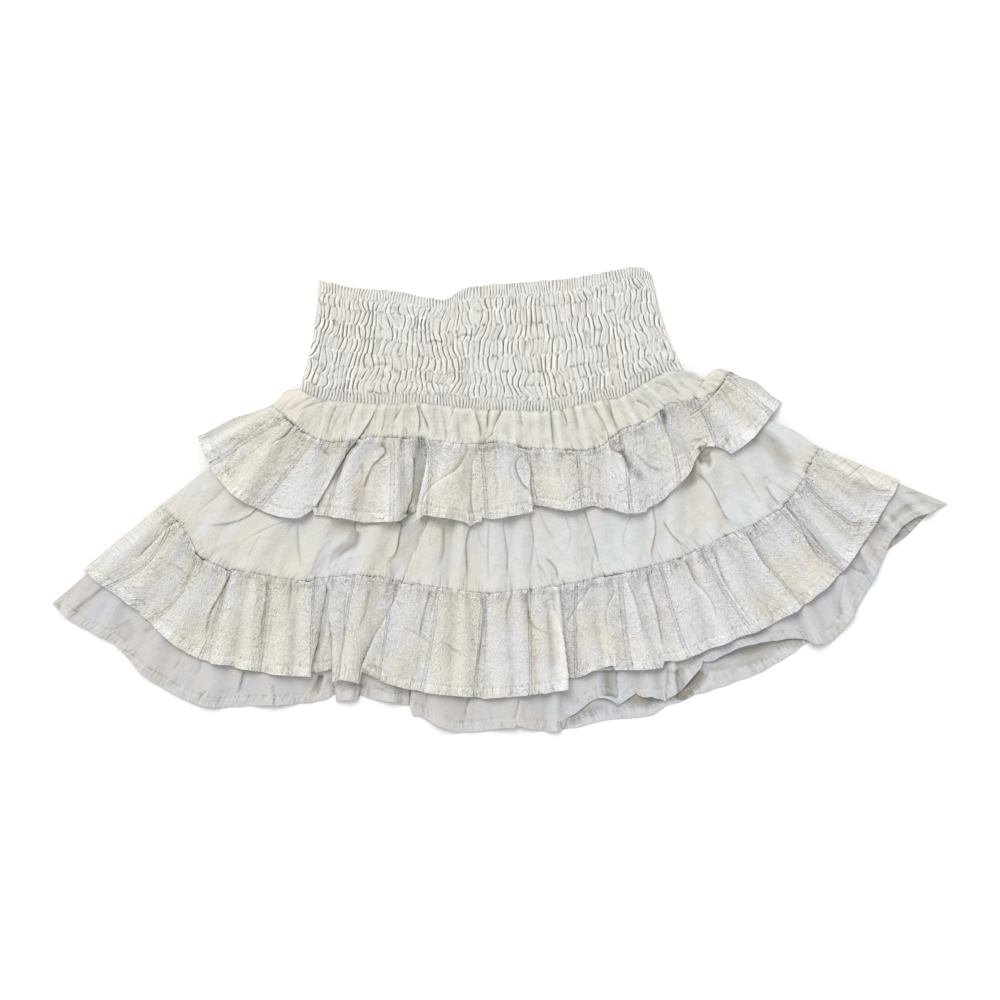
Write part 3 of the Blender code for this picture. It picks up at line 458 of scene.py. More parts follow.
BAND_CREASES = rows_of(
    Crease,
    ((-61, 127, -54, 130, -48, 129, -41, 132), 0.9, 1.2),
    ((-37, 131, -30, 135, -22, 134, -14, 138, -7, 137), 0.9, 1.2),
    ((-104, 110, -96, 111, -87, 110), 0.8, 1.2), ((-148, 164, -146, 160, -143, 157), 1, 1.4),
)


# ---- curves, folds and noise

def ease(share: Array | float) -> Array:
    """Rise from 0 to 1 with soft ends."""
    share = np.clip(share, 0.0, 1.0)
    return share * share * (3 - 2 * share)


def bell(away: Array, half: float) -> Array:
    """A round hump that is 1 in its middle and dies away past half its width."""
    return np.exp(-(away / half) ** 2)


def smooth(rows: Sequence, share: Array) -> Array:
    """Read a table at any shares across.

    Args:
        rows: Rows of (across, value, ...), joined by one curve.
        share: Places at which the curve is read.

    Returns:
        One row of values for each place.
    """
    columns = np.array(rows, dtype=float)
    knots, values = columns[:, 0], columns[:, 1:]
    slopes = np.gradient(values, knots, axis=0)
    share = np.clip(share, knots[0], knots[-1])
    left = np.clip(np.searchsorted(knots, share, side="right") - 1, 0, len(knots) - 2)
    span = (knots[left + 1] - knots[left])[:, None]
    t = (share - knots[left])[:, None] / span
    return ((1 + 2 * t) * (1 - t) ** 2 * values[left] + t * (1 - t) ** 2 * span * slopes[left]
            + t * t * (3 - 2 * t) * values[left + 1] + t * t * (t - 1) * span * slopes[left + 1])


def waist_seam(share: Array, drop: float = 0.0) -> Array:
    """Points of the waist seam.

    Args:
        share: Places across, from the left side fold to the right one.
        drop: How far the points are moved square to the seam, towards the hem.

    Returns:
        One plan point for each place.
    """
    points = smooth(WAIST_SEAM, share)
    tangent = smooth(WAIST_SEAM, share + STEP) - smooth(WAIST_SEAM, share - STEP)
    normal = np.stack((tangent[:, 1], -tangent[:, 0]), axis=1)
    return points + drop * normal / np.linalg.norm(normal, axis=1, keepdims=True)


def toward(start: Array, end: Array, distance: Array | float) -> Array:
    """Points a given distance from start on the way to end."""
    step = end - start
    return start + step * (np.reshape(distance, (-1, 1)) / np.linalg.norm(step, axis=1, keepdims=True))


def run_length(points: Array) -> Array:
    """Distance of each point of a line from its first one."""
    steps = np.linalg.norm(np.diff(points, axis=0), axis=1)
    return np.concatenate(([0.0], np.cumsum(steps)))


def blurred(field_: Array, reach: tuple[float, float]) -> Array:
    """Average a grid over a window, twice.

    Args:
        field_: A value for each point of the grid.
        reach: How many rows and columns the window takes in on each side of a point.

    Returns:
        The averages.
    """
    for axis, cells in enumerate(reach):
        half = max(1, int(round(cells)))
        for _ in range(2):
            pad = [(0, 0), (0, 0)]
            pad[axis] = (half + 1, half)
            total = np.cumsum(np.pad(field_, pad, mode="edge"), axis=axis)
            upper = np.take(total, range(2 * half + 1, total.shape[axis]), axis=axis)
            lower = np.take(total, range(0, total.shape[axis] - 2 * half - 1), axis=axis)
            field_ = (upper - lower) / (2 * half + 1)
    return field_


class Noise:
    """Smooth random values over a plane, the same in each run.

    A number added to either place where it is read only sets that use of it apart from the others.
    """

    size = 509  # whole steps after which the values repeat

    def __init__(self, seed: int) -> None:
        """Draw the values at whole steps."""
        self.table = np.random.default_rng(seed).uniform(-1, 1, (self.size, self.size))

    def at(self, u: Array, v: Array | float, sharp: bool = False) -> Array:
        """Read the noise.

        Args:
            u: Places along the first axis, with features one unit long.
            v: Places along the second axis.
            sharp: Run straight from one whole step of v to the next, with a kink at each.

        Returns:
            Values between -1 and 1.
        """
        u, v = np.broadcast_arrays(np.asarray(u, dtype=float), np.asarray(v, dtype=float))
        column, row = np.floor(u).astype(int), np.floor(v).astype(int)
        s, t = ease(u - column), v - row
        t = t if sharp else ease(t)
        column, row = column % self.size, row % self.size
        right, above = (column + 1) % self.size, (row + 1) % self.size
        return ((1 - t) * ((1 - s) * self.table[row, column] + s * self.table[row, right])
                + t * ((1 - s) * self.table[above, column] + s * self.table[above, right]))


NOISE = Noise(SEED)


class Grain(NamedTuple):
    """A layer of noise over the cloth."""
    height: float
    size: float  # length of its features along the cloth
    start: float  # where along the noise it starts
    rate: float  # number of its features in one unit up the cloth
    row: float  # where up the noise it starts

    def at(self, along: Array, up: Array | float, sharp: bool = False) -> Array:
        """Read the layer at places along and up the cloth."""
        return self.height * NOISE.at(along / self.size + self.start, up * self.rate + self.row, sharp)


def side_distance(points: Array, across: Array) -> Array:
    """Distance of each point of a grid, in rows across the skirt, from the nearer side fold."""
    width = np.linalg.norm(points[:, -1] - points[:, 0], axis=1)[:, None]
    return np.minimum(across, 1 - across)[None] * width


def rounded(aside: Array, radius: float) -> Array:
    """Share of its full height to which cloth has risen at a distance from a side fold."""
    return np.sqrt(1 - (1 - np.clip(aside / radius, 0, 1)) ** 2)


def folded(points: Array, folds: Sequence[Fold]) -> tuple[Array, Array]:
    """Height of the folds at each plan point, and the sideways lean of the cloth there.

    Args:
        points: Plan points of a grid of cloth.
        folds: The soft ridges that run over it.

    Returns:
        The heights, and for each point its sideways shift for each millimetre of height.
    """
    height = np.zeros(points.shape[:-1])
    lean = np.zeros(points.shape)
    weight = np.full(points.shape[:-1], LEAN_REST)
    for fold in folds:
        head = np.array((fold.head_x, fold.head_y), dtype=float)
        run = np.array((fold.foot_x, fold.foot_y), dtype=float) - head
        length = np.hypot(*run)
        side = np.array((-run[1], run[0])) / length
        along = (points - head) @ run / length ** 2
        share = np.clip(along, 0, 1)
        half = (fold.head_width + (fold.foot_width - fold.head_width) * share) / 2
        beyond = np.abs(along - share) * length
        off = np.hypot((points - head) @ side, beyond) / half
        crest = fold.head_height + (fold.foot_height - fold.head_height) * share
        height += (crest * np.cos(np.clip(off, 0, 1) * math.pi / 2) ** 2) ** 2
        near = np.cos(np.clip(off / LEAN_REACH, 0, 1) * math.pi / 2) ** 2
        lean += near[..., None] * fold.lean * side
        weight += near
    return np.sqrt(height), lean / weight[..., None]


@dataclass
class Creasing:
    """What a set of creases does to a grid of cloth."""

    # Besides its shape, a crease carries painted shade: a dark line under a lapping edge with a painted
    # shadow beside it, or a dark middle.
    step: float = 2.0  # spacing of the points of a crease's curve
    felt: float = 4.0  # a crease is felt this many reaches away
    edge: float = 0.75  # half width of the turn at a lapping edge
    head_taper: float = 0.1  # share of its length over which a crease deepens
    foot_taper: float = 0.4  # share over which it dies away
    open_taper: float = 0.02  # the same where it runs out through the hem
    rise: float = 0.55  # lift of the lapping side, as a share of the depth
    sink: float = 0.55  # drop of the side below it
    under_reach: float = 0.6  # how far that side sinks, as a share of the reach
    under_line: float = 1.2  # half width of the painted shade line below the edge, as a share of the edge's
    shadow: float = 0.42  # painted shadow on the side below a deep one
    shadow_reach: float = 0.7
    shallow: float = 1.2  # depth at which that shadow starts
    deepening: float = 1.4  # and the further depth over which it comes up
    flank: float = 0.2  # height of a valley's two flanks, as a share of its depth
    flank_place: float = 1.7  # their distance from its middle, and their half width, in reaches
    flank_half: float = 0.8
    patchy: float = 9.0  # distance along a crease over which its painted shade changes
    broad: float = 4.0  # reach past which it doesn't

    def apply(self, points: Array, creases: Sequence[Crease],
              share: float = 1.0) -> tuple[Array, Array, Array]:
        """Work the creases into a grid.

        Args:
            points: Plan points of the grid.
            creases: The creases that cross it.
            share: Strength of all of them.

        Returns:
            The lift, the sideways shift, and the painted shade of the dark, narrow valley, at each
            point.
        """
        lift = np.zeros(points.shape[:-1])
        shift = np.zeros(points.shape)
        line = np.zeros(points.shape[:-1])
        for crease in creases:
            knots = np.reshape(crease.path, (-1, 2)).astype(float)
            along = run_length(knots)
            count = max(4, int(along[-1] / self.step))
            path = smooth(np.column_stack((along, knots)), np.linspace(0, along[-1], count))
            margin = self.felt * crease.reach + 4 * self.edge
            inside = np.all((points > path.min(0) - margin) & (points < path.max(0) + margin), axis=-1)
            if not inside.any():
                continue
            off, side, place = self.nearest(points[inside], path)
            foot = self.open_taper if crease.open_foot else self.foot_taper
            taper = ease(place / self.head_taper) * ease((1 - place) / foot)
            turn = 1.0 if crease.lap >= 0 else -1.0
            off, side = off * turn, side * turn
            lap = abs(crease.lap)
            if lap:
                over = 0.5 * (1 + np.tanh(off / self.edge))
                far = np.exp(-np.maximum(off, 0) / crease.reach)
                near = np.exp(np.minimum(off, 0) / (self.under_reach * crease.reach))
                lift[inside] += share * crease.depth * taper * (self.rise * over * far
                                                                - self.sink * (1 - over) * near)
                shift[inside] -= (share * lap * taper * over * far)[:, None] * side
                # painted shade: a dark line under the lapping edge, and a painted shadow over the side
                # below
                dark = bell(off + self.edge, self.under_line * self.edge)
                below = np.exp(-np.maximum(-off, 0) / (self.shadow_reach * crease.reach)) * (1 - over)
                deep = float(np.clip((crease.depth - self.shallow) / self.deepening, 0, 1))
                dark = np.maximum(dark, self.shadow * deep * below)
            else:
                middle = bell(off, crease.reach)
                beyond = np.abs(off) - self.flank_place * crease.reach
                flank = bell(beyond, self.flank_half * crease.reach)
                lift[inside] += share * crease.depth * taper * (self.flank * flank - middle)
                # painted shade down the middle of an open valley
                dark = (0.3 + 0.15 * crease.depth + 0.35 * max(0.0, crease.depth - 3)) * middle
            darkness = min(1.0, 0.2 + crease.depth / 2.8)
            uneven = 0.8 + 0.5 * NOISE.at(place * along[-1] / self.patchy, knots[0, 0])
            if lap == 0 and crease.reach > self.broad:
                uneven = 0.9
            line[inside] = np.maximum(line[inside], share * darkness * taper * dark * uneven)
        return lift, shift, line

    @staticmethod
    def nearest(points: Array, path: Array) -> tuple[Array, Array, Array]:
        """Place points against a path.

        Args:
            points: Plan points.
            path: Points of the path, in order.

        Returns:
            The distance to the path, above 0 on its left hand, the direction square to the path
            there, towards the left hand, and the share of the way along it.
        """
        start, step = path[:-1], np.diff(path, axis=0)
        length = np.hypot(step[:, 0], step[:, 1])
        away = points[:, None] - start[None]
        along = np.clip((away * step).sum(-1) / length ** 2, 0, 1)
        square = ((away - along[..., None] * step) ** 2).sum(-1)
        best = square.argmin(1)
        pick = (np.arange(len(points)), best)
        left = np.stack((-step[:, 1], step[:, 0]), axis=1) / length[:, None]
        hand = np.where((away[pick] * left[best]).sum(-1) < 0, -1.0, 1.0)
        return np.sqrt(square[pick]) * hand, left[best], (best + along[pick]) / len(step)


# ---- what the cloth lies on

class Ground:
    """Heights of all that lies below the next panel, on a square grid of cells."""

    cell = 2.0
    half_x, half_y = 400.0, 220.0
    reach = 4.0  # cloth keeps its full height this far beyond what lifts it
    roundness = 14.0  # radius of the curve by which it comes down

    def __init__(self) -> None:
        """Start with the bare surface."""
        shape = int(2 * self.half_y / self.cell) + 1, int(2 * self.half_x / self.cell) + 1
        self.top = self.clear = self.cover = np.zeros(shape)

    def add(self, sheet: Array) -> None:
        """Raise the ground by a sheet of cloth, and drape a cover over all of it.

        Args:
            sheet: The grid of points of the sheet's outside.
        """
        half_cell = self.cell / 2
        for lower, upper in zip(sheet[:-1], sheet[1:]):
            gap = np.hypot(*(upper - lower)[:, :2].T).max()
            for share in np.linspace(0, 1, math.ceil(gap / half_cell) + 1):
                row = lower + (upper - lower) * share
                wide = np.hypot(*np.diff(row[:, :2], axis=0).T).max()
                for part in np.linspace(0, 1, math.ceil(wide / half_cell) + 1):
                    self.mark(row[:-1] + np.diff(row, axis=0) * part)
        self.clear = self.spread(self.top, (0.0, 0.0))
        cells = math.ceil((self.reach + math.sqrt(2 * self.roundness * self.top.max())) / self.cell)
        falls = [max(0.0, away * self.cell - self.reach) ** 2 / (2 * self.roundness)
                 for away in range(cells + 1)]
        self.cover = np.maximum(blurred(self.spread(self.top, falls), (2, 2)), self.top)

    def mark(self, points: Array) -> None:
        """Raise the cells under some points of a sheet.

        Args:
            points: The points, in space.
        """
        column = np.rint((points[:, 0] + self.half_x) / self.cell).astype(int)
        row = np.rint((points[:, 1] + self.half_y) / self.cell).astype(int)
        np.maximum.at(self.top, (row, column), points[:, 2] + LAYER_GAP)

    @staticmethod
    def spread(heights: Array, falls: Sequence[float]) -> Array:
        """Give each cell the height that its highest neighbour still has there.

        Args:
            heights: A height for each cell.
            falls: How far cloth comes down no cells away from what lifts it, one away and so on.

        Returns:
            The new heights.
        """
        for axis in (0, 1):
            widest = heights
            for shift in range(1 - len(falls), len(falls)):
                widest = np.maximum(widest, np.roll(heights, shift, axis=axis) - falls[abs(shift)])
            heights = widest
        return heights

    def at(self, heights: Array, points: Array) -> Array:
        """Read one of the height maps between its cells.

        Args:
            heights: The map.
            points: Plan points.

        Returns:
            A height for each point.
        """
        column = (points[..., 0] + self.half_x) / self.cell
        row = (points[..., 1] + self.half_y) / self.cell
        left, below = column.astype(int), row.astype(int)
        u, v = column - left, row - below
        return ((1 - v) * ((1 - u) * heights[below, left] + u * heights[below, left + 1])
                + v * ((1 - u) * heights[below + 1, left] + u * heights[below + 1, left + 1]))


# ---- meshes

def only(obj: Piece) -> None:
    """Select one object alone and make it the active one.

    Args:
        obj: The object.
    """
    bpy.ops.object.select_all(action="DESELECT")
    obj.select_set(True)
    bpy.context.view_layer.objects.active = obj


def apply_modifier(obj: Piece, kind: str, **settings: Any) -> None:
    """Add a modifier to an object and apply it.

    Args:
        obj: The object.
        kind: The modifier's type.
        settings: Its own settings, by name.
    """
    only(obj)
    modifier = obj.modifiers.new(kind.lower(), kind)
    for name, value in settings.items():
        setattr(modifier, name, value)
    bpy.ops.object.modifier_apply(modifier=modifier.name)


def grid_mesh(name: str, surface: Array, uv: Array, marks: dict[str, Array]) -> Piece:
    """Make a primitive grid and shape it into a surface.

    Args:
        name: Name of the new piece.
        surface: Points in millimetres, in rows from the hem up and columns from left to right.
        uv: Place of each point on the cut cloth, in metres.
        marks: Values at each point that its finish reads.

    Returns:
        The new piece, an open surface that faces up.
    """
    rows, columns = surface.shape[:2]
    bpy.ops.object.select_all(action="DESELECT")
    bpy.ops.mesh.primitive_grid_add(x_subdivisions=columns - 1, y_subdivisions=rows - 1, size=1.0)
    piece = bpy.context.object
    piece.name = piece.data.name = name
    mesh = piece.data
    mesh.vertices.foreach_set("co", (surface * MM).astype(np.float32).ravel())
    corner = np.empty(len(mesh.loops), dtype=np.int32)
    mesh.loops.foreach_get("vertex_index", corner)
    mesh.uv_layers.active.data.foreach_set("uv", uv.reshape(-1, 2)[corner].astype(np.float32).ravel())
    for mark, values in marks.items():
        layer = mesh.attributes.new(mark, "FLOAT", "POINT")
        layer.data.foreach_set("value", values.astype(np.float32).ravel())
    mesh.update()
    return piece


def finish_piece(piece: Piece, finish: "Finish", *nodes: str) -> Piece:
    """Shade, dress and hang a finished piece on the frame.

    Args:
        piece: The piece, with its modifiers applied.
        finish: The finish that it gets.
        nodes: The solids that it stands for.

    Returns:
        The same piece.
    """
    only(piece)
    bpy.ops.object.shade_smooth_by_angle(angle=SHARP_EDGE)
    piece.data.materials.clear()
    piece.data.materials.append(finish.material())
    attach(piece, BODY)
    if nodes:
        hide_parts(*nodes)
    area = sum(face.area for face in piece.data.polygons) / 2
    LOG.info("%s: %d faces, %.4f square metres", piece.name, len(piece.data.polygons), area)
    return piece


# ---- one grid of cloth

VALLEYS = (  # each width at which valleys are looked for, and its share in the painted shade of their depth
    (1.6, 0.7), (5, 0.08), (14, 0.02),
)
CREASE_SHADE_SHARE = 0.68  # and the share of the creases' own painted shade


class Side(Enum):
    """The half of a tube that a panel is."""
    FRONT = "front"
    BACK = "back"


class Gather(NamedTuple):
    """Pleats that run away from a seam."""
    period: float  # distance from one to the next, along the seam
    length: float  # distance over which they die away
    height: float


WAIST_GATHERS = (Gather(3.4, 8, 0.9), Gather(6.5, 17, 1.3), Gather(12, 34, 1.6))
YOKE_FOOT_GATHERS = (Gather(3.4, 6, 1.0), Gather(7, 12, 1.1), Gather(15, 26, 0.9))
RUFFLE_GATHERS = (Gather(3.4, 7, 1.3), Gather(7, 18, 1.4), Gather(13, 38, 1.5))


def gathers(rows: Sequence[Gather], seam: Array, away: Array, row: float) -> Array:
    """Height of the pleats along one side of a seam.

    Args:
        rows: The sizes of pleats that lie over one another.
        seam: Each column's place along the seam.
        away: Each point's distance from the seam.
        row: The row of the noise at which they start, one for each seam.

    Returns:
        The height at each point; each pleat is round and meets the next in a sharp valley.
    """
    sharpness, pinch, pinched, apart = 0.6, 3.5, 0.4, 61.7
    away = np.maximum(away, 0)
    height = np.zeros(away.shape)
    for number, gather in enumerate(rows):
        wave = NOISE.at(seam / gather.period + apart * number, row + away / gather.length)
        height += gather.height * np.abs(wave) ** sharpness * np.exp(-away / gather.length)
    return height * (pinched + (1 - pinched) * ease(away / pinch))


@dataclass
class Cloth:
    """A grid of cloth in plan, in rows from the hem up, with its distances to its seams."""

    plan: Array  # rows x columns x 2
    across: Array  # one for each column
    below_waist: Array  # rows x columns
    below_gather: Array  # rows x columns; less than 0 above the gather seam
    above_hem: Array  # rows x columns
    side_round: float = 5.0  # distance from a side fold over which the cloth turns down
    hem_rise: float = 14.0  # distance above the hem over which the cloth follows its jumps
    hem_thick: float = 0.45  # how much higher a hem lies, where the cloth is double
    hem_pale: float = 0.3  # and how much paler it looks
    hem_groove: float = 0.4  # depth of the stitched line over it, and its half width
    groove_half: float = 0.8
    # painted shade in the stitched groove
    groove_shade: float = 0.22
    lift: Array = field(init=False)
    shift: Array = field(init=False)
    # painted shade of the creases, wrinkles, seam and stitched groove; less where the double hem is
    # paler
    line: Array = field(init=False)

    def __post_init__(self) -> None:
        """Start flat."""
        self.lift = np.zeros(self.plan.shape[:2])
        self.shift = np.zeros(self.plan.shape)
        self.line = np.zeros(self.plan.shape[:2])

    @classmethod
    def along(cls, across: Array, waist: Array, middle: Array, hem: Array, upper: Array,
              lower: Array) -> "Cloth":
        """Run threads from the waist over a middle line to the hem.

        Args:
            across: Place of each thread across.
            waist: Where each thread starts.
            middle: Where it meets the gather seam or the middle line.
            hem: Where it ends.
            upper: Distance from the waist of each row above the middle, on each thread.
            lower: Distance from the middle of each row below it.

        Returns:
            The grid of cloth.
        """
        top = np.linalg.norm(middle - waist, axis=1)
        bottom = np.linalg.norm(hem - middle, axis=1)
        rows = np.concatenate((waist + (middle - waist) * (upper / top)[..., None],
                               middle + (hem - middle) * (lower / bottom)[..., None]))
        below = np.concatenate((upper, top + lower))
        gather = below - top
        return cls(rows[::-1], across, below[::-1], gather[::-1], (top + bottom - below)[::-1])

    def nudge(self, nudges: Sequence[Nudge]) -> None:
        """Push the cloth aside at a few places.

        Args:
            nudges: The places.
        """
        for nudge in nudges:
            away = np.hypot(self.plan[..., 0] - nudge.x, self.plan[..., 1] - nudge.y)
            self.plan = self.plan + bell(away, nudge.reach)[..., None] * (nudge.right, nudge.up)

    def row_length(self, row: int) -> Array:
        """Place of each column along one of the rows, in millimetres."""
        return run_length(self.plan[row])

    def seam_row(self) -> int:
        """The row that lies nearest to the gather seam."""
        return int(np.argmin(np.abs(self.below_gather).mean(axis=1)))

    def fold(self, folds: Sequence[Fold]) -> None:
        """Raise the cloth's main folds, which lean over.

        Args:
            folds: The folds.
        """
        height, lean = folded(self.plan, folds)
        self.lift += height
        self.shift += lean * height[..., None]

    def crease(self, creases: Sequence[Crease], share: float = 1.0) -> None:
        """Work in the listed creases.

        Args:
            creases: The creases.
            share: Strength of all of them.
        """
        lift, shift, line = Creasing().apply(self.plan, creases, share)
        self.lift += lift
        self.shift += shift
        self.line = np.maximum(self.line, line)

    def soften(self, broad: float, fine: float) -> None:
        """Add the slack waves and small dents that no cloth is without.

        Args:
            broad: Height of the waves.
            fine: Height of the dents.
        """
        run = self.row_length(0)[None]
        down = self.below_waist
        self.lift += broad * NOISE.at(run / 26 + down / 60 + 11.1, down / 31 + 3.7)
        self.lift += fine * NOISE.at((run + 0.5 * down) / 9 + 71.3, (down - 0.4 * run) / 11 + 23.1)

    def wrinkle(self, height: float, dark: float, row: float) -> None:
        """Add short fine creases, mostly lengthwise, with painted shade in them.

        Args:
            height: Depth of a crease.
            dark: How much painted shade it takes.
            row: Where they start in the noise, one for each panel.
        """
        turn, apart, long, half = 7, 12, 75, 0.06
        run, down = self.row_length(0)[None], self.below_waist
        turned = run + turn * NOISE.at(run / 30 + row, down / 22)
        wave = NOISE.at(turned / apart + row, down / long + row)
        shown = ease(1.8 * NOISE.at(run / apart + 2 * row, down / 15 + 7.7))
        narrow = bell(wave, half) * shown
        self.lift -= height * narrow
        # painted shade in the fine creases
        self.line = np.maximum(self.line, dark * narrow)

    def crinkle(self, height: float, upto: Array) -> None:
        """Add the small puckers of crinkled cotton.

        Args:
            height: Their height.
            upto: The share of it that each point takes.
        """
        run, down = self.row_length(0)[None], self.below_gather
        small = np.abs(NOISE.at(run / 3.4 + 5.5, down / 6.0 + 91.0)) ** 0.7
        large = NOISE.at((run + 0.3 * down) / 7.5 + 37.0, (down - 0.2 * run) / 13 + 55.0)
        self.lift += height * upto * (small - 0.5 + 0.6 * large)

    def step_hem(self, steps: Sequence[HemStep]) -> None:
        """Move the hem up or down where one lobe lies over the next.

        Args:
            steps: Where the hem jumps.
        """
        across = self.plan[0, :, 0]
        for step in steps:
            away = across - step.x
            jump = np.where(away < 0, step.left, step.right) * np.exp(-np.abs(away) / step.reach)
            self.shift[..., 1] += np.exp(-self.above_hem / self.hem_rise) * jump

    def hem(self, depth: float, period: float, height: float, row: float) -> None:
        """Fold the hem up and stitch it down.

        Args:
            depth: Depth of the hem.
            period: Distance between the puckers that its stitching draws up.
            height: Height of those puckers.
            row: The row of the noise at which they start.
        """
        run, up = self.row_length(0)[None], self.above_hem
        folded_up = 1 - ease((up - depth + 0.5) / 1.0)
        sewn = bell(up - depth, self.groove_half)
        self.lift += self.hem_thick * folded_up
        self.lift -= self.hem_groove * sewn
        pucker = np.abs(NOISE.at(run / period + 13.0, row + up / 14)) ** 0.6
        self.lift += height * (pucker - 0.4) * np.exp(-np.abs(up - 0.8 * depth) / (0.9 * depth))
        # painted shade in the stitched groove; the double hem is paler
        self.line = np.maximum(self.line, self.groove_shade * sewn) - self.hem_pale * folded_up
        waver = 0.7 * NOISE.at(run / 7, row + 0.5) + 0.8 * NOISE.at(run / 17, row + 7.5)
        self.shift[..., 1] += waver * np.exp(-up / 10)

    def lay(self, ground: Ground, loft: float) -> Array:
        """Lay the cloth on what is below it.

        Args:
            ground: What the cloth lies on.
            loft: Air that stays under it.

        Returns:
            The grid of points of its outside.
        """
        aside = side_distance(self.plan, self.across)
        fade = ease(aside / EDGE_REST)
        place = self.plan + self.shift * fade[..., None]
        cover = blurred(ground.at(ground.cover, place), (2, 2))
        clear = ground.at(ground.clear, place) + CLOTH
        height = cover + CLOTH + (loft + self.lift) * fade
        height = clear + (np.maximum(height, clear) - clear) * rounded(aside, self.side_round)
        return np.dstack((place, height))

    def painted_shade_of(self, surface: Array) -> Array:
        """How much painted shade each point takes, from how far it lies in a valley.

        Args:
            surface: The points of the cloth's outside.

        Returns:
            Painted shade from -1, a painted highlight on a ridge, to 1.5 in a narrow crease.
        """
        cell_y = np.median(np.linalg.norm(np.diff(surface, axis=0), axis=-1))
        cell_x = np.median(np.linalg.norm(np.diff(surface, axis=1), axis=-1))
        height = surface[..., 2]
        depth = sum(share * (blurred(height, (reach / cell_y, reach / cell_x)) - height)
                    for reach, share in VALLEYS)
        return np.clip(depth + CREASE_SHADE_SHARE * self.line, -1.0, 1.5)

    def puckers(self, depth: float) -> Array:
        """How much each point is drawn up by stitching.

        Args:
            depth: Depth of the hem.

        Returns:
            A share for each point: 1 in the hem, and less away from it and from the other seams.
        """
        hem = 1 - ease((self.above_hem - depth) / 5)
        seam = 2.0 * np.exp(-np.abs(self.below_gather) / 6)
        return np.maximum(np.maximum(hem, seam), 0.8 * np.exp(-self.below_waist / 7))

    def cut_places(self, width: float, slants: Sequence[Slant]) -> Array:
        """Place of each point on the cut cloth, in metres.

        Args:
            width: Width of the cut.
            slants: How far sideways the woven lines run; without them they follow the threads.

        Returns:
            The two coordinates of each point.
        """
        u = np.broadcast_to(self.across * width, self.below_waist.shape)
        if slants:
            share = np.clip(self.below_gather / (self.below_gather + self.above_hem), 0, 1)
            x = self.plan[..., 0]
            start = x - share * np.interp(x, *np.transpose(slants))
            woven = np.interp(start, self.plan[self.seam_row(), :, 0], self.across * width)
            u = np.where(self.below_gather > 0, woven, u)
        return np.dstack((u, self.below_waist)) * MM


# ---- stitching

@dataclass
class Stitching:
    """Rows of short stitches, joined into one mesh."""

    name: str
    pitch: float = 2.9
    length: float = 2.1
    width: float = 0.42
    height: float = 0.34
    proud: float = 0.06  # height of a stitch's middle above the cloth
    runs: list = field(default_factory=list)

    def along(self, line: Array) -> None:
        """Lay stitches along a line, one pitch apart.

        Args:
            line: Points of the line, in order.
        """
        run = run_length(line)
        starts = np.arange(self.pitch, run[-1] - self.pitch, self.pitch)
        ends = [np.column_stack([np.interp(starts + side * self.length / 2, run, line[:, axis])
                                 for axis in range(3)]) for side in (-1, 1)]
        self.runs.append(np.stack(ends))

    def build(self, finish: "Finish") -> Piece:
        """Model one stitch, copy it to each place and join the copies.

        Args:
            finish: The finish of the thread.

        Returns:
            The piece.
        """
        bpy.ops.object.select_all(action="DESELECT")
        bpy.ops.mesh.primitive_uv_sphere_add(segments=4, ring_count=3, radius=0.5)
        piece = bpy.context.object
        piece.name = piece.data.name = self.name
        bead = np.array([vert.co for vert in piece.data.vertices])
        bead = bead[:, [2, 0, 1]] * (self.length, self.width, self.height)
        faces = [np.array(face.vertices) for face in piece.data.polygons]
        start, end = np.concatenate(self.runs, axis=1)
        ahead = end - start
        ahead /= np.linalg.norm(ahead, axis=1, keepdims=True)
        aside = np.cross((0.0, 0.0, 1.0), ahead)
        aside /= np.linalg.norm(aside, axis=1, keepdims=True)
        axes = np.stack((ahead, aside, np.cross(ahead, aside)), axis=1)
        points = np.einsum("kc,ncd->nkd", bead, axes) + ((start + end) / 2)[:, None]
        points[..., 2] += self.proud
        mesh = bpy.data.meshes.new(self.name)
        copies = [face + number * len(bead) for number in range(len(points)) for face in faces]
        mesh.from_pydata(points.reshape(-1, 3) * MM, [], [copy.tolist() for copy in copies])
        piece.data = mesh
        mesh.shade_smooth()
        return finish_piece(piece, finish)


# ---- tiers and lining

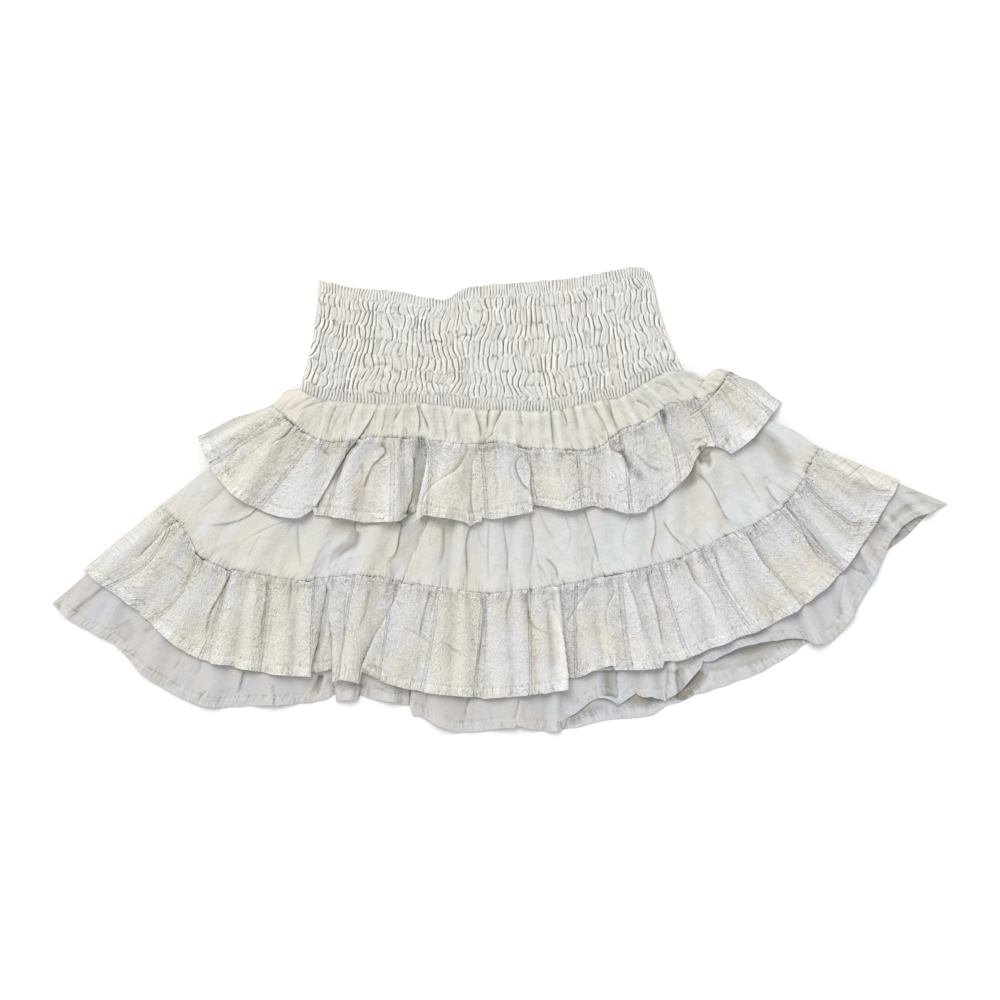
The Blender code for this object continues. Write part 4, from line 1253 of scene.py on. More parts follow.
@dataclass
class Panels:
    """What the panels of a tube of cloth share."""

    threads: tuple
    folds: tuple
    creases: tuple
    hem_steps: tuple
    nudges: tuple
    slants: tuple  # of the woven lines of its front
    columns: int  # across its front
    cell: float  # distance between two rows of the front, where they show
    back_columns: int = 150
    back_cell: float = 2.6
    hidden_cell: float = 9.0
    back_share: float = 0.25  # strength of the back's creases, which the weight of the skirt presses
    back_lap: float = 0.5  # and of their laps
    hem_cells: int = 9  # rows of the grid in the front's hem, and in the back's
    back_hem_cells: int = 3

    def seams(self, side: Side) -> tuple[Array, Array, Array, Array]:
        """Find where the threads of one side cross its seams.

        Args:
            side: The half of the tube.

        Returns:
            The places across of the threads, and their waist, middle and hem points.
        """
        columns = self.columns if side is Side.FRONT else self.back_columns
        across = np.linspace(0, 1, columns + 1)
        read = smooth(self.threads, across)
        return across, waist_seam(read[:, 0], SEAM_GAP), read[:, 1:3], read[:, 3:5]

    def rows(self, side: Side, length: Array, hidden: float, end: float = 0.0) -> Array:
        """Distances of rows down a stretch of cloth.

        Args:
            side: The half of the tube.
            length: Length of each thread.
            hidden: Share of it that never shows, with few rows.
            end: Distance before the end at which the rows stop.

        Returns:
            A row of distances for each row of the grid.
        """
        cell = self.cell if side is Side.FRONT else self.back_cell
        mean = length.mean()
        few = np.linspace(0, hidden, math.ceil(hidden * mean / self.hidden_cell) + 1)[:-1]
        many = np.linspace(hidden, 1, math.ceil((1 - hidden) * mean / cell) + 1)
        return np.concatenate((few, many))[:, None] * (length - end)

    def with_hem(self, side: Side, length: Array, hidden: float, depth: float) -> Array:
        """Distances of rows down a stretch that ends in a hem, whose stitched edge is a row.

        Args:
            side: The half of the tube.
            length: Length of each thread.
            hidden: Share of it that never shows.
            depth: Depth of the hem.

        Returns:
            A row of distances for each row of the grid.
        """
        cells = self.hem_cells if side is Side.FRONT else self.back_hem_cells
        body = self.rows(side, length, hidden, depth)
        hem = length - depth + np.linspace(0, depth, cells + 1)[1:, None]
        return np.concatenate((body, hem))

    def hem_line(self, surface: Array, side: Side) -> Array:
        """Points of the stitched edge of the hem."""
        return surface[self.hem_cells if side is Side.FRONT else self.back_hem_cells]

    def back_creases(self) -> list[Crease]:
        """Creases of the back half, which are the front's turned over."""
        flipped = []
        for crease in self.creases:
            path = np.reshape(crease.path, (-1, 2)) * (-1, 1)
            flipped.append(crease._replace(path=tuple(path.ravel()), lap=self.back_lap * crease.lap))
        return flipped

    def sheet_of(self, name: str, cloth: Cloth, surface: Array, rows: slice, width: float,
                 finish: "Finish", slants: tuple = ()) -> Piece:
        """Make one panel of some rows of a grid of cloth.

        Args:
            name: The solid that the panel stands for.
            cloth: The grid.
            surface: The points of its outside.
            rows: The rows that the panel takes.
            width: Width of its cut.
            finish: Its finish.
            slants: How far sideways its woven lines run.

        Returns:
            The panel.
        """
        # the finish paints shade from these: painted shade in valleys and creases, painted highlight on
        # ridges, and both over the puckers
        marks = {"painted_shade": cloth.painted_shade_of(surface)[rows], "pucker": cloth.puckers(RUFFLE_HEM)[rows]}
        piece = grid_mesh(f"{name}_cloth", surface[rows], cloth.cut_places(width, slants)[rows], marks)
        apply_modifier(piece, "SOLIDIFY", thickness=CLOTH * MM, offset=-1.0)
        return finish_piece(piece, finish, name)


@dataclass(kw_only=True)
class Tier(Panels):
    """A plain yoke with a ruffle of figured cotton gathered to its lower edge."""

    name: str
    first_row: float  # where this tier's gathers start in the noise
    yoke_cut: tuple
    ruffle_cut: tuple
    rests_on: tuple
    yoke_finish: "Finish"
    hidden: float = 0.0  # share of the front yoke under the tier above
    sewn_row: int = 3  # rows of the grid from the gather seam down to its stitches
    crinkled: float = 0.5  # height of the ruffle's crinkle, and of the yoke's
    plain: float = 0.16
    waves: tuple = (0.7, 0.4)  # heights of the slack waves and of the small dents
    wrinkles: tuple = (0.45, 0.32)  # depth of the fine creases, and how much painted shade they take
    hem_puckers: tuple = (4.6, 0.7)  # distance between the puckers of the hem, and their height
    scallop_period: float = 3.6
    head: float = 1.1  # height of the ruffle's puckered head
    head_half: float = 2.8  # and its half width
    groove: float = 0.7  # depth to which the yoke is drawn in at the seam
    lap: float = 1.5  # how far the head turns over the yoke's edge
    most_lap: float = 1.4
    seam_shadow: tuple = (0.04, 0.2)  # painted shadow under the ruffle's head along the seam, everywhere and in broken stretches

    def build(self, side: Side, ground: Ground) -> None:
        """Lay the yoke and the ruffle of one side and add them to the ground.

        Args:
            side: The half of the tube.
            ground: What they lie on.
        """
        front = side is Side.FRONT
        across, waist, gather, hem = self.seams(side)
        if not front:
            hem = toward(hem, gather, BACK_SHORT)
        top = np.linalg.norm(gather - waist, axis=1)
        bottom = np.linalg.norm(hem - gather, axis=1)
        hidden = self.hidden if front else 0.0
        upper = self.rows(side, top, hidden, SEAM_GAP / 2)
        lower = self.with_hem(side, bottom, 0.0, RUFFLE_HEM)
        lower[0] += SEAM_GAP / 2
        cloth = Cloth.along(across, waist, gather, hem, upper, lower)
        cloth.nudge(self.nudges)
        self.shape(cloth, side)
        surface = cloth.lay(ground, FRONT_LOFT if front else 0.0)
        ground.add(surface)
        seam = len(lower)
        slants = self.slants if front else ()
        ruffle = self.sheet_of(f"{self.name}_ruffle_{side.value}", cloth, surface, slice(0, seam),
                               self.ruffle_cut[0], FIGURED, slants)
        yoke = self.sheet_of(f"{self.name}_yoke_{side.value}", cloth, surface, slice(seam, None),
                             self.ruffle_cut[0], self.yoke_finish)
        stitching = Stitching(f"{self.name}_ruffle_{side.value}_stitching")
        stitching.along(self.hem_line(surface, side))
        stitching.along(surface[seam - self.sewn_row])
        threads = stitching.build(THREAD)
        tuple(size * MM for size in self.ruffle_cut)
        tuple(size * MM for size in self.yoke_cut)

    def shape(self, cloth: Cloth, side: Side) -> None:
        """Give the cloth its folds, gathers, crinkle, creases and hem.

        Args:
            cloth: The grid of the yoke and the ruffle.
            side: The half of the tube.
        """
        front, start = side is Side.FRONT, self.first_row
        relief = 1.0 if front else self.back_share
        ruffle = (cloth.below_gather > 0).astype(float)
        seam, waist = cloth.row_length(cloth.seam_row()), cloth.row_length(-1)
        foot = gathers(YOKE_FOOT_GATHERS, seam, -cloth.below_gather, start + 20)
        head = gathers(RUFFLE_GATHERS, seam, cloth.below_gather, start + 40)
        cloth.lift += relief * gathers(WAIST_GATHERS, waist, cloth.below_waist, start)
        cloth.lift += relief * (1 - ruffle) * foot
        cloth.lift += relief * ruffle * head
        self.seam_ridge(cloth, seam, ruffle, relief)
        cloth.crinkle(self.crinkled * relief, ruffle * ease(cloth.below_gather / 5))
        cloth.crinkle(self.plain * relief, 1 - ruffle)
        cloth.soften(*(height * relief for height in self.waves))
        cloth.wrinkle(*(strength * relief for strength in self.wrinkles), start + 70)
        if front:
            cloth.fold(self.folds)
            cloth.crease(self.creases)
            cloth.step_hem(self.hem_steps)
        else:
            cloth.crease(self.back_creases(), self.back_share)
        period, height = self.hem_puckers
        cloth.hem(RUFFLE_HEM, period, height * relief, start + 60)

    def seam_ridge(self, cloth: Cloth, seam: Array, ruffle: Array, relief: float) -> None:
        """Turn the ruffle's puckered head over the yoke's edge, draw the seam in, and paint the shadow
        under the head.

        Args:
            cloth: The grid of the yoke and the ruffle.
            seam: Each column's place along the gather seam.
            ruffle: 1 on the ruffle and 0 on the yoke.
            relief: Strength of the side's relief.
        """
        away, start = np.abs(cloth.below_gather), self.first_row
        scallop = 0.5 + 0.5 * NOISE.at(seam / self.scallop_period + 3.1, start + 80)
        wander = NOISE.at(seam / 11 + 3.1, start + 84)
        broken = ease(0.5 + 0.9 * NOISE.at(seam / 8 + 9.4, start + 88))
        ridge = bell(away, self.head_half)
        cloth.lift += relief * ruffle * self.head * (0.5 + scallop) * ridge
        cloth.lift -= relief * (1 - ruffle) * self.groove * np.exp(-away / 2)
        ahead = cloth.plan[-1] - cloth.plan[cloth.seam_row()]
        ahead /= np.linalg.norm(ahead, axis=1, keepdims=True)
        over = np.clip(self.lap * (0.3 + 1.3 * scallop + 1.1 * wander), 0, self.most_lap)
        over = over * relief * ruffle * np.exp(-away / 5)
        cloth.shift += over[..., None] * ahead
        # painted shadow on the yoke, just under the lapped head
        even, patchy = self.seam_shadow
        dark = (1 - ruffle) * (even + patchy * broken) * bell(away - self.lap, 0.8)
        cloth.line = np.maximum(cloth.line, relief * dark)


@dataclass(kw_only=True)
class Lining(Panels):
    """One plain panel on each side, from the waist to a narrow hem."""

    back_creases_shown: tuple
    back_hem_steps: tuple
    hidden: float = 0.64  # share of its lower half under the tiers
    covered: float = 0.99  # and of its upper half
    gathered: float = 0.3  # strength of its gathers at the waist
    loft: float = 0.6  # air under its front
    cut: tuple = (760, 235)

    def build(self, side: Side, ground: Ground) -> None:
        """Lay one side of the lining and add it to the ground.

        Args:
            side: The half of the tube.
            ground: What it lies on.
        """
        front = side is Side.FRONT
        across, waist, middle, hem = self.seams(side)
        if not front:
            hem = toward(hem, middle, -smooth(LINING_BACK_DROP, across)[:, 0])
        top = np.linalg.norm(middle - waist, axis=1)
        bottom = np.linalg.norm(hem - middle, axis=1)
        upper = self.rows(side, top, self.covered)
        lower = self.with_hem(side, bottom, self.hidden, LINING_HEM)[1:]
        cloth = Cloth.along(across, waist, middle, hem, upper, lower)
        cloth.nudge(self.nudges)
        seam = cloth.row_length(-1)
        cloth.lift += self.gathered * gathers(WAIST_GATHERS, seam, cloth.below_waist, 101)
        cloth.soften(0.9 if front else 0.5, 0.3 if front else 0.2)
        cloth.wrinkle(0.4, 0.3, 171 if front else 181)
        if front:
            cloth.fold(self.folds)
            cloth.crease(self.creases)
            cloth.step_hem(self.hem_steps)
        else:
            cloth.crease(self.back_creases_shown)
            cloth.step_hem(self.back_hem_steps)
        cloth.hem(LINING_HEM, 6.5, 0.9 if front else 0.5, 131 if front else 161)
        surface = cloth.lay(ground, self.loft if front else 0.0)
        ground.add(surface)
        name = f"lining_{side.value}"
        piece = self.sheet_of(name, cloth, surface, slice(None), self.cut[0], LINING_VOILE)
        stitching = Stitching(f"{name}_stitching")
        stitching.along(self.hem_line(surface, side))
        tuple(size * MM for size in self.cut)
        stitching.build(THREAD)


# ---- waistband

@dataclass
class Waistband:
    """A tube of voile shirred on rows of elastic thread, pressed flat into two halves."""

    elastic_rows: int = 8
    row_places: tuple = (0, 0.1, 0.2, 0.305, 0.435, 0.56, 0.68, 0.805, 0.9, 1)
    row_cells: int = 12  # rows of the front's grid between two rows of elastic
    columns: int = 540
    back_columns: int = 260
    back_row_cells: int = 5
    inner: float = 3.3  # height of the front half's flat inside, and of the back half's
    back_top: float = 2.8
    rim: float = 0.15  # least height of the front half's rim, and of the back half's
    back_rim: float = 0.2
    back_start: float = 500.0  # where along the noise the back half starts
    pressed: float = 2.0  # relief above which the back lies flat on the surface
    drawn_in: float = 3.5  # the sides draw in by this much at half height
    stiffness: int = 3
    floor: float = 1.3  # cloth over the inside, in the grooves of the elastic
    puff: float = 0.1  # rise between two rows of elastic
    pleat: float = 1.5
    pleat_grain: Grain = Grain(0.4, 6.5, 0, 0.8, 33)
    period: float = 4.5  # distance from one pleat to the next
    crowding: Grain = Grain(3.0, 20, 5, 0.3, 70)  # how pleats crowd together over a few rows
    row_crowding: Grain = Grain(1.3, 9, 5, 2.7, 170)
    kink: float = 2.1  # sideways turn of a pleat at a row of elastic
    turning: Grain = Grain(1.2, 13, 0, 1, 0)
    small_turning: Grain = Grain(0.4, 5, 0, 1, 90)
    bow: float = 1.5  # how far a pleat bows between two rows
    bowing: Grain = Grain(1, 9, 200, 1, 40)
    header_period: float = 2.5
    header_pleat: float = 0.8
    header_turn: float = 0.4  # rows over which the pleats turn into the header's
    tuck: float = 0.5  # height of the small tucks on a row of elastic
    # the next four set the painted shade in the pleats' valleys, clefts, scratches and specks
    depth_grain: Grain = Grain(1.1, 4.5, 9.1, 1.1, 61)
    cleft_grain: Grain = Grain(1.1, 5.5, 40, 1.2, 12)
    scratch_grain: Grain = Grain(1, 2.6, 0, 0.6, 300)
    scratch_apart: float = 23.4  # its shift along the band from one row to the next
    speck_grain: Grain = Grain(0.9, 1.5, 0, 5.3, 150)
    top_grain: Grain = Grain(0.6, 2.6, 0, 0, 17)  # how the top edge wavers
    seam_swell: float = 0.9  # rise of the cloth at the waist seam
    swell_reach: float = 0.7  # over this many rows
    stitch_sink: float = 0.55  # depth of the stitches below the cloth around them
    creases: tuple = ()
    edge_round: float = 4.5
    cut: tuple = (365, 112)

    def grid(self, columns: int, cells: int) -> tuple[Array, Array, Array]:
        """Lay out the points of a half of the band, from the seam up.

        Args:
            columns: Cells across.
            cells: Cells between two rows of elastic.

        Returns:
            Places across, places up in rows of elastic, and plan points.
        """
        across = np.linspace(0, 1, columns + 1)
        rows = np.linspace(0, self.elastic_rows + 1, (self.elastic_rows + 1) * cells + 1)
        up = np.interp(rows, range(self.elastic_rows + 2), self.row_places)
        seam, top = waist_seam(across), smooth(WAIST_TOP, across)
        points = seam + (top - seam) * up[:, None, None]
        inward = self.drawn_in * np.sin(math.pi * up)[:, None] * (1 - 2 * across)[None] ** self.stiffness
        points[..., 0] += inward
        return across, rows, points

    def relief(self, along: Array, up: Array) -> tuple[Array, Array]:
        """Height of the pleats that the elastic draws up.

        Args:
            along: Places along the band, in millimetres.
            up: Places up it, in rows of elastic, where its top edge is one past the last.

        Returns:
            The height, and the painted shade of each point, from how far it lies down in a valley; below
            0 a painted highlight on a flank.
        """
        belly, row = np.sin(math.pi * (up % 1.0)), np.floor(up)
        between = belly ** 0.3
        turning = self.turning.at(along, up, sharp=True) + self.small_turning.at(along, up, sharp=True)
        wander = self.kink * turning + self.bow * belly * self.bowing.at(along, row)
        uneven = self.crowding.at(along, up) + self.row_crowding.at(along, row)
        turns = (along + wander + uneven) / self.period
        narrow = self.ridge((along + 0.5 * wander) / self.header_period + 0.4)
        header = ease((up - self.elastic_rows + 0.1) / self.header_turn)
        fine = np.maximum(header, ease((1.0 - up) / self.header_turn))
        strength = 0.8 + self.pleat_grain.at(along, up)
        pleats = self.pleat * strength * self.ridge(turns) * (0.6 + 0.4 * between)
        tucks = self.tuck * (1 - between) * self.ridge(2 * turns + 0.25)
        height = self.puff * between + (pleats + tucks) * (1 - fine)
        height += fine * (self.header_pleat * narrow + 0.35 * self.puff)
        deep = np.clip(0.6 + self.depth_grain.at(along, up), 0.05, 1.25)
        marks = self.marks(along, up, wander, turns, deep) * (1 - fine)
        # painted shade in the header's valleys, painted highlight on its crests
        header_shade = 2.0 * (0.4 + 0.6 * deep) * (1 - narrow) ** 1.3 - 0.4 * narrow ** 4
        return height, np.clip(marks + fine * header_shade, -1.0, 1.3)

    def marks(self, along: Array, up: Array, wander: Array, turns: Array, deep: Array) -> Array:
        """Painted shade in the valleys and creases of the pleats, and painted highlights on their
        flanks.

        Args:
            along: Places along the band, in millimetres.
            up: Places up it, in rows of elastic.
            wander: How far the pleats have turned aside.
            turns: Places along the band, in pleats.
            deep: How deep the valleys are.

        Returns:
            The painted shade at each point, below 0 a painted highlight on a flank.
        """
        belly = np.sin(math.pi * (up % 1.0))
        sewn = 1 - belly ** 0.6
        cleft = np.clip(0.5 + self.cleft_grain.at(along, up), 0, 1)
        scratch = self.scratch_grain.at(along + 1.5 * wander + self.scratch_apart * np.floor(up), up)
        steep = np.maximum(np.abs(np.gradient(turns, along[0], axis=1)) * math.pi, 0.25)
        sine, cosine = np.sin(math.pi * turns), np.cos(math.pi * turns)
        away = sine * np.sign(cosine) / steep
        dark = 1.3 * bell(away, 0.5) * (0.2 + 0.8 * belly ** 0.3) * deep
        dark += 0.7 * cleft * bell(cosine / steep, 0.48)
        dark += 0.5 * (1.15 - cleft) * bell(scratch, 0.14)
        dark += 0.45 * sewn * bell(np.sin(math.pi * (2 * turns + 0.25)), 0.5)
        dark += sewn * self.speck_grain.at(along, up)
        # painted highlights on the flanks
        bright = bell(away - 0.9, 0.38) + 0.5 * bell(away + 1.2, 0.36)
        return dark - 0.9 * bright * (0.3 + 0.7 * deep)

    @staticmethod
    def ridge(turns: Array) -> Array:
        """Rounded ridges that meet in sharp valleys, one for each turn."""
        return np.abs(np.sin(math.pi * turns)) ** 0.55

    def half(self, name: str, surface: Array, level: float, marks: Array, rows: Array,
             across: Array) -> Piece:
        """Close a half of the band with a straight rim and a flat inner face.

        Args:
            name: The solid that the half stands for.
            surface: The points of its outside.
            level: Height of the inner face.
            marks: Painted shade of each point, from how far it lies in a valley; below 0 a painted
                highlight.
            rows: Places up the band, in rows of elastic.
            across: Places across it.

        Returns:
            The finished half.
        """
        up = rows / rows[-1]
        uv = np.dstack((np.broadcast_to(across * self.cut[0], surface.shape[:2]),
                        np.broadcast_to((up * self.cut[1])[:, None], surface.shape[:2]))) * MM
        piece = grid_mesh(f"{name}_cloth", surface, uv, {"painted_shade": marks})
        only(piece)
        bpy.ops.object.mode_set(mode="EDIT")
        bpy.ops.mesh.select_mode(type="EDGE")
        bpy.ops.mesh.select_all(action="DESELECT")
        bpy.ops.mesh.select_non_manifold(use_wire=False, use_multi_face=False,
                                         use_non_contiguous=False, use_verts=False)
        bpy.ops.mesh.extrude_region_move(TRANSFORM_OT_translate={"value": (0, 0, level * MM)})
        bpy.ops.transform.resize(value=(1, 1, 0), center_override=(0, 0, level * MM))
        bpy.ops.mesh.edge_face_add()
        bpy.ops.mesh.select_all(action="SELECT")
        bpy.ops.mesh.normals_make_consistent(inside=False)
        bpy.ops.object.mode_set(mode="OBJECT")
        return finish_piece(piece, SMOCKED, name)

    def front(self) -> None:
        """Build the smocked half on top, with its rows of elastic stitched."""
        across, rows, points = self.grid(self.columns, self.row_cells)
        along = run_length(points[len(rows) // 2])
        height, valley = self.relief(along[None], rows[:, None])
        below_top = (self.elastic_rows + 1 - rows)[:, None]
        points[..., 1] += self.top_grain.at(along, 0.0) * np.exp(-below_top / 0.5)
        sunk, _, dark = Creasing().apply(points, self.creases)
        # painted shade of the band's creases
        valley = np.where(dark > 0.1, np.maximum(valley, dark), valley)
        lift = sunk + self.seam_swell * np.exp(-rows / self.swell_reach)[:, None]
        turn = rounded(side_distance(points, across), self.edge_round)
        outside = self.inner + self.rim + (self.floor + height + lift) * turn
        # painted shade in the valleys, painted highlight on the crests
        painted_shade = np.clip(0.5 * (blurred(outside, (2, 3)) - outside) + 0.85 * valley, -1, 1.5)
        surface = np.dstack((points, outside))
        piece = self.half("waistband_front", surface, self.inner, painted_shade, rows, across)
        stitching = Stitching("waistband_elastic", length=1.7, width=0.35)
        for row in range(1, self.elastic_rows + 1):
            line = surface[row * self.row_cells].copy()
            line[:, 2] = blurred(line[None, :, 2], (1, 2))[0] - self.stitch_sink
            stitching.along(line)
        threads = stitching.build(THREAD)
        tuple(size * MM for size in self.cut)

    def back(self) -> None:
        """Build the half underneath, whose outside rests on the surface."""
        across, rows, points = self.grid(self.back_columns, self.back_row_cells)
        along = run_length(points[len(rows) // 2])
        height, valley = self.relief(along[None] + self.back_start, rows[:, None])
        groove = np.clip(self.pressed - height, 0, None) * 0.5
        turn = 1 - rounded(side_distance(points, across), self.edge_round)
        surface = np.dstack((points, groove + (self.back_top - self.back_rim - groove) * turn))
        piece = self.half("waistband_back", surface, self.back_top, valley, rows, across)
        tuple(size * MM for size in self.cut)


# ---- finishes

class Value:
    """A shader socket on which arithmetic adds Math nodes."""

    def __init__(self, shader: "Shader", socket: bpy.types.NodeSocket) -> None:
        """Wrap a socket of a shader's node."""
        self.shader, self.socket = shader, socket

    def apply(self, operation: str, *others: Any) -> "Value":
        """Put this value, and others after it, through a Math node."""
        values = dict(enumerate((self, *others)))
        return self.shader.node("Math", {"operation": operation}, values)

    def clamp(self) -> "Value":
        """Keep the value between 0 and 1."""
        settings = {"operation": "ADD", "use_clamp": True}
        return self.shader.node("Math", settings, {0: self, 1: 0.0})

    def __add__(self, other: Any) -> "Value":
        """Add."""
        return self.apply("ADD", other)

    def __sub__(self, other: Any) -> "Value":
        """Take away."""
        return self.apply("SUBTRACT", other)

    def __rsub__(self, other: Any) -> "Value":
        """Take away from a number."""
        return self.shader.node("Math", {"operation": "SUBTRACT"}, {0: other, 1: self})

    def __mul__(self, other: Any) -> "Value":
        """Multiply."""
        return self.apply("MULTIPLY", other)

    __rmul__ = __mul__

    def __pow__(self, other: Any) -> "Value":
        """Raise to a power."""
        return self.apply("POWER", other)

    def __mod__(self, other: Any) -> "Value":
        """Remainder, never below 0."""
        return self.apply("FLOORED_MODULO", other)

    def __abs__(self) -> "Value":
        """Size without its sign."""
        return self.apply("ABSOLUTE")


class Shader:
    """The nodes of one material."""

    def __init__(self, name: str) -> None:
        """Start a material with a Principled shader alone.

        Args:
            name: The material's name.
        """
        self.made = bpy.data.materials.new(name)
        self.made.use_nodes = True
        self.tree = self.made.node_tree
        self.surface = self.tree.nodes["Principled BSDF"]

    def node(self, kind: str, settings: dict[str, Any], values: dict[Any, Any],
             output: int | str = 0) -> Value:
        """Add any node.

        Args:
            kind: The node's type, without its first words.
            settings: Its own settings.
            values: Numbers, colours or linked values of its sockets, by name or number.
            output: Name or number of the socket that is returned.

        Returns:
            The wrapped output.
        """
        node = self.tree.nodes.new("ShaderNode" + kind)
        for name, value in settings.items():
            setattr(node, name, value)
        for name, value in values.items():
            self.feed(node.inputs[name], value)
        return Value(self, node.outputs[output])

    def feed(self, socket: bpy.types.NodeSocket, value: Any) -> None:
        """Link a value to a socket, or set the socket to a number or colour."""
        if isinstance(value, Value):
            self.tree.links.new(value.socket, socket)
        else:
            socket.default_value = value

    def set(self, **values: Any) -> None:
        """Set or link sockets of the Principled shader, with _ for a space in their names."""
        for name, value in values.items():
            self.feed(self.surface.inputs[name.replace("_", " ")], value)

    def noise(self, place: Value, scale: float, detail: float = 2.0, roughness: float = 0.5) -> Value:
        """Smooth noise around 0.5."""
        values = {"Vector": place, "Scale": scale, "Detail": detail, "Roughness": roughness}
        return self.node("TexNoise", {}, values, "Fac")

    def stretched(self, place: Value, x: float, y: float) -> Value:
        """Scale a place by its own factor along each of its first two axes."""
        return self.node("Mapping", {}, {"Vector": place, "Scale": (x, y, 1.0)})

    def between(self, value: Value, low: float, high: float) -> Value:
        """0 at low and 1 at high, with soft ends."""
        values = {"Value": value, "From Min": low, "From Max": high}
        return self.node("MapRange", {"interpolation_type": "SMOOTHSTEP"}, values)

    def mix(self, share: Any, first: Any, second: Any) -> Value:
        """Mix two colours."""
        return self.node("Mix", {"data_type": "RGBA"}, {0: share, 6: first, 7: second}, 2)

    def bump(self, height: Value, distance: float, below: Value | None = None) -> Value:
        """Turn heights into a normal.

        Args:
            height: The heights, around any level.
            distance: What a height of 1 stands for, in metres.
            below: A normal on top of which they lie.

        Returns:
            The normal.
        """
        values = {"Height": height, "Distance": distance, "Strength": 1.0}
        if below is not None:
            values["Normal"] = below
        return self.node("Bump", {}, values)


def shade(red: float, green: float, blue: float) -> tuple[float, float, float, float]:
    """The colour with which the cloth shows these 8-bit display values in the studio's light."""
    linear = [((c / 255 + 0.055) / 1.055) ** 2.4 / STUDIO_GAIN for c in (red, green, blue)]
    return (*linear, 1.0)


class Curl(NamedTuple):
    """A curl of a woven sprig, in millimetres."""
    aside: float  # from the ladder that the sprig grows from
    rise: float
    radius: float


CURLS = rows_of(Curl, (4.6, 4.4, 2.6), (6.4, -4.0, 2.9), (10.2, 3.0, 1.8))


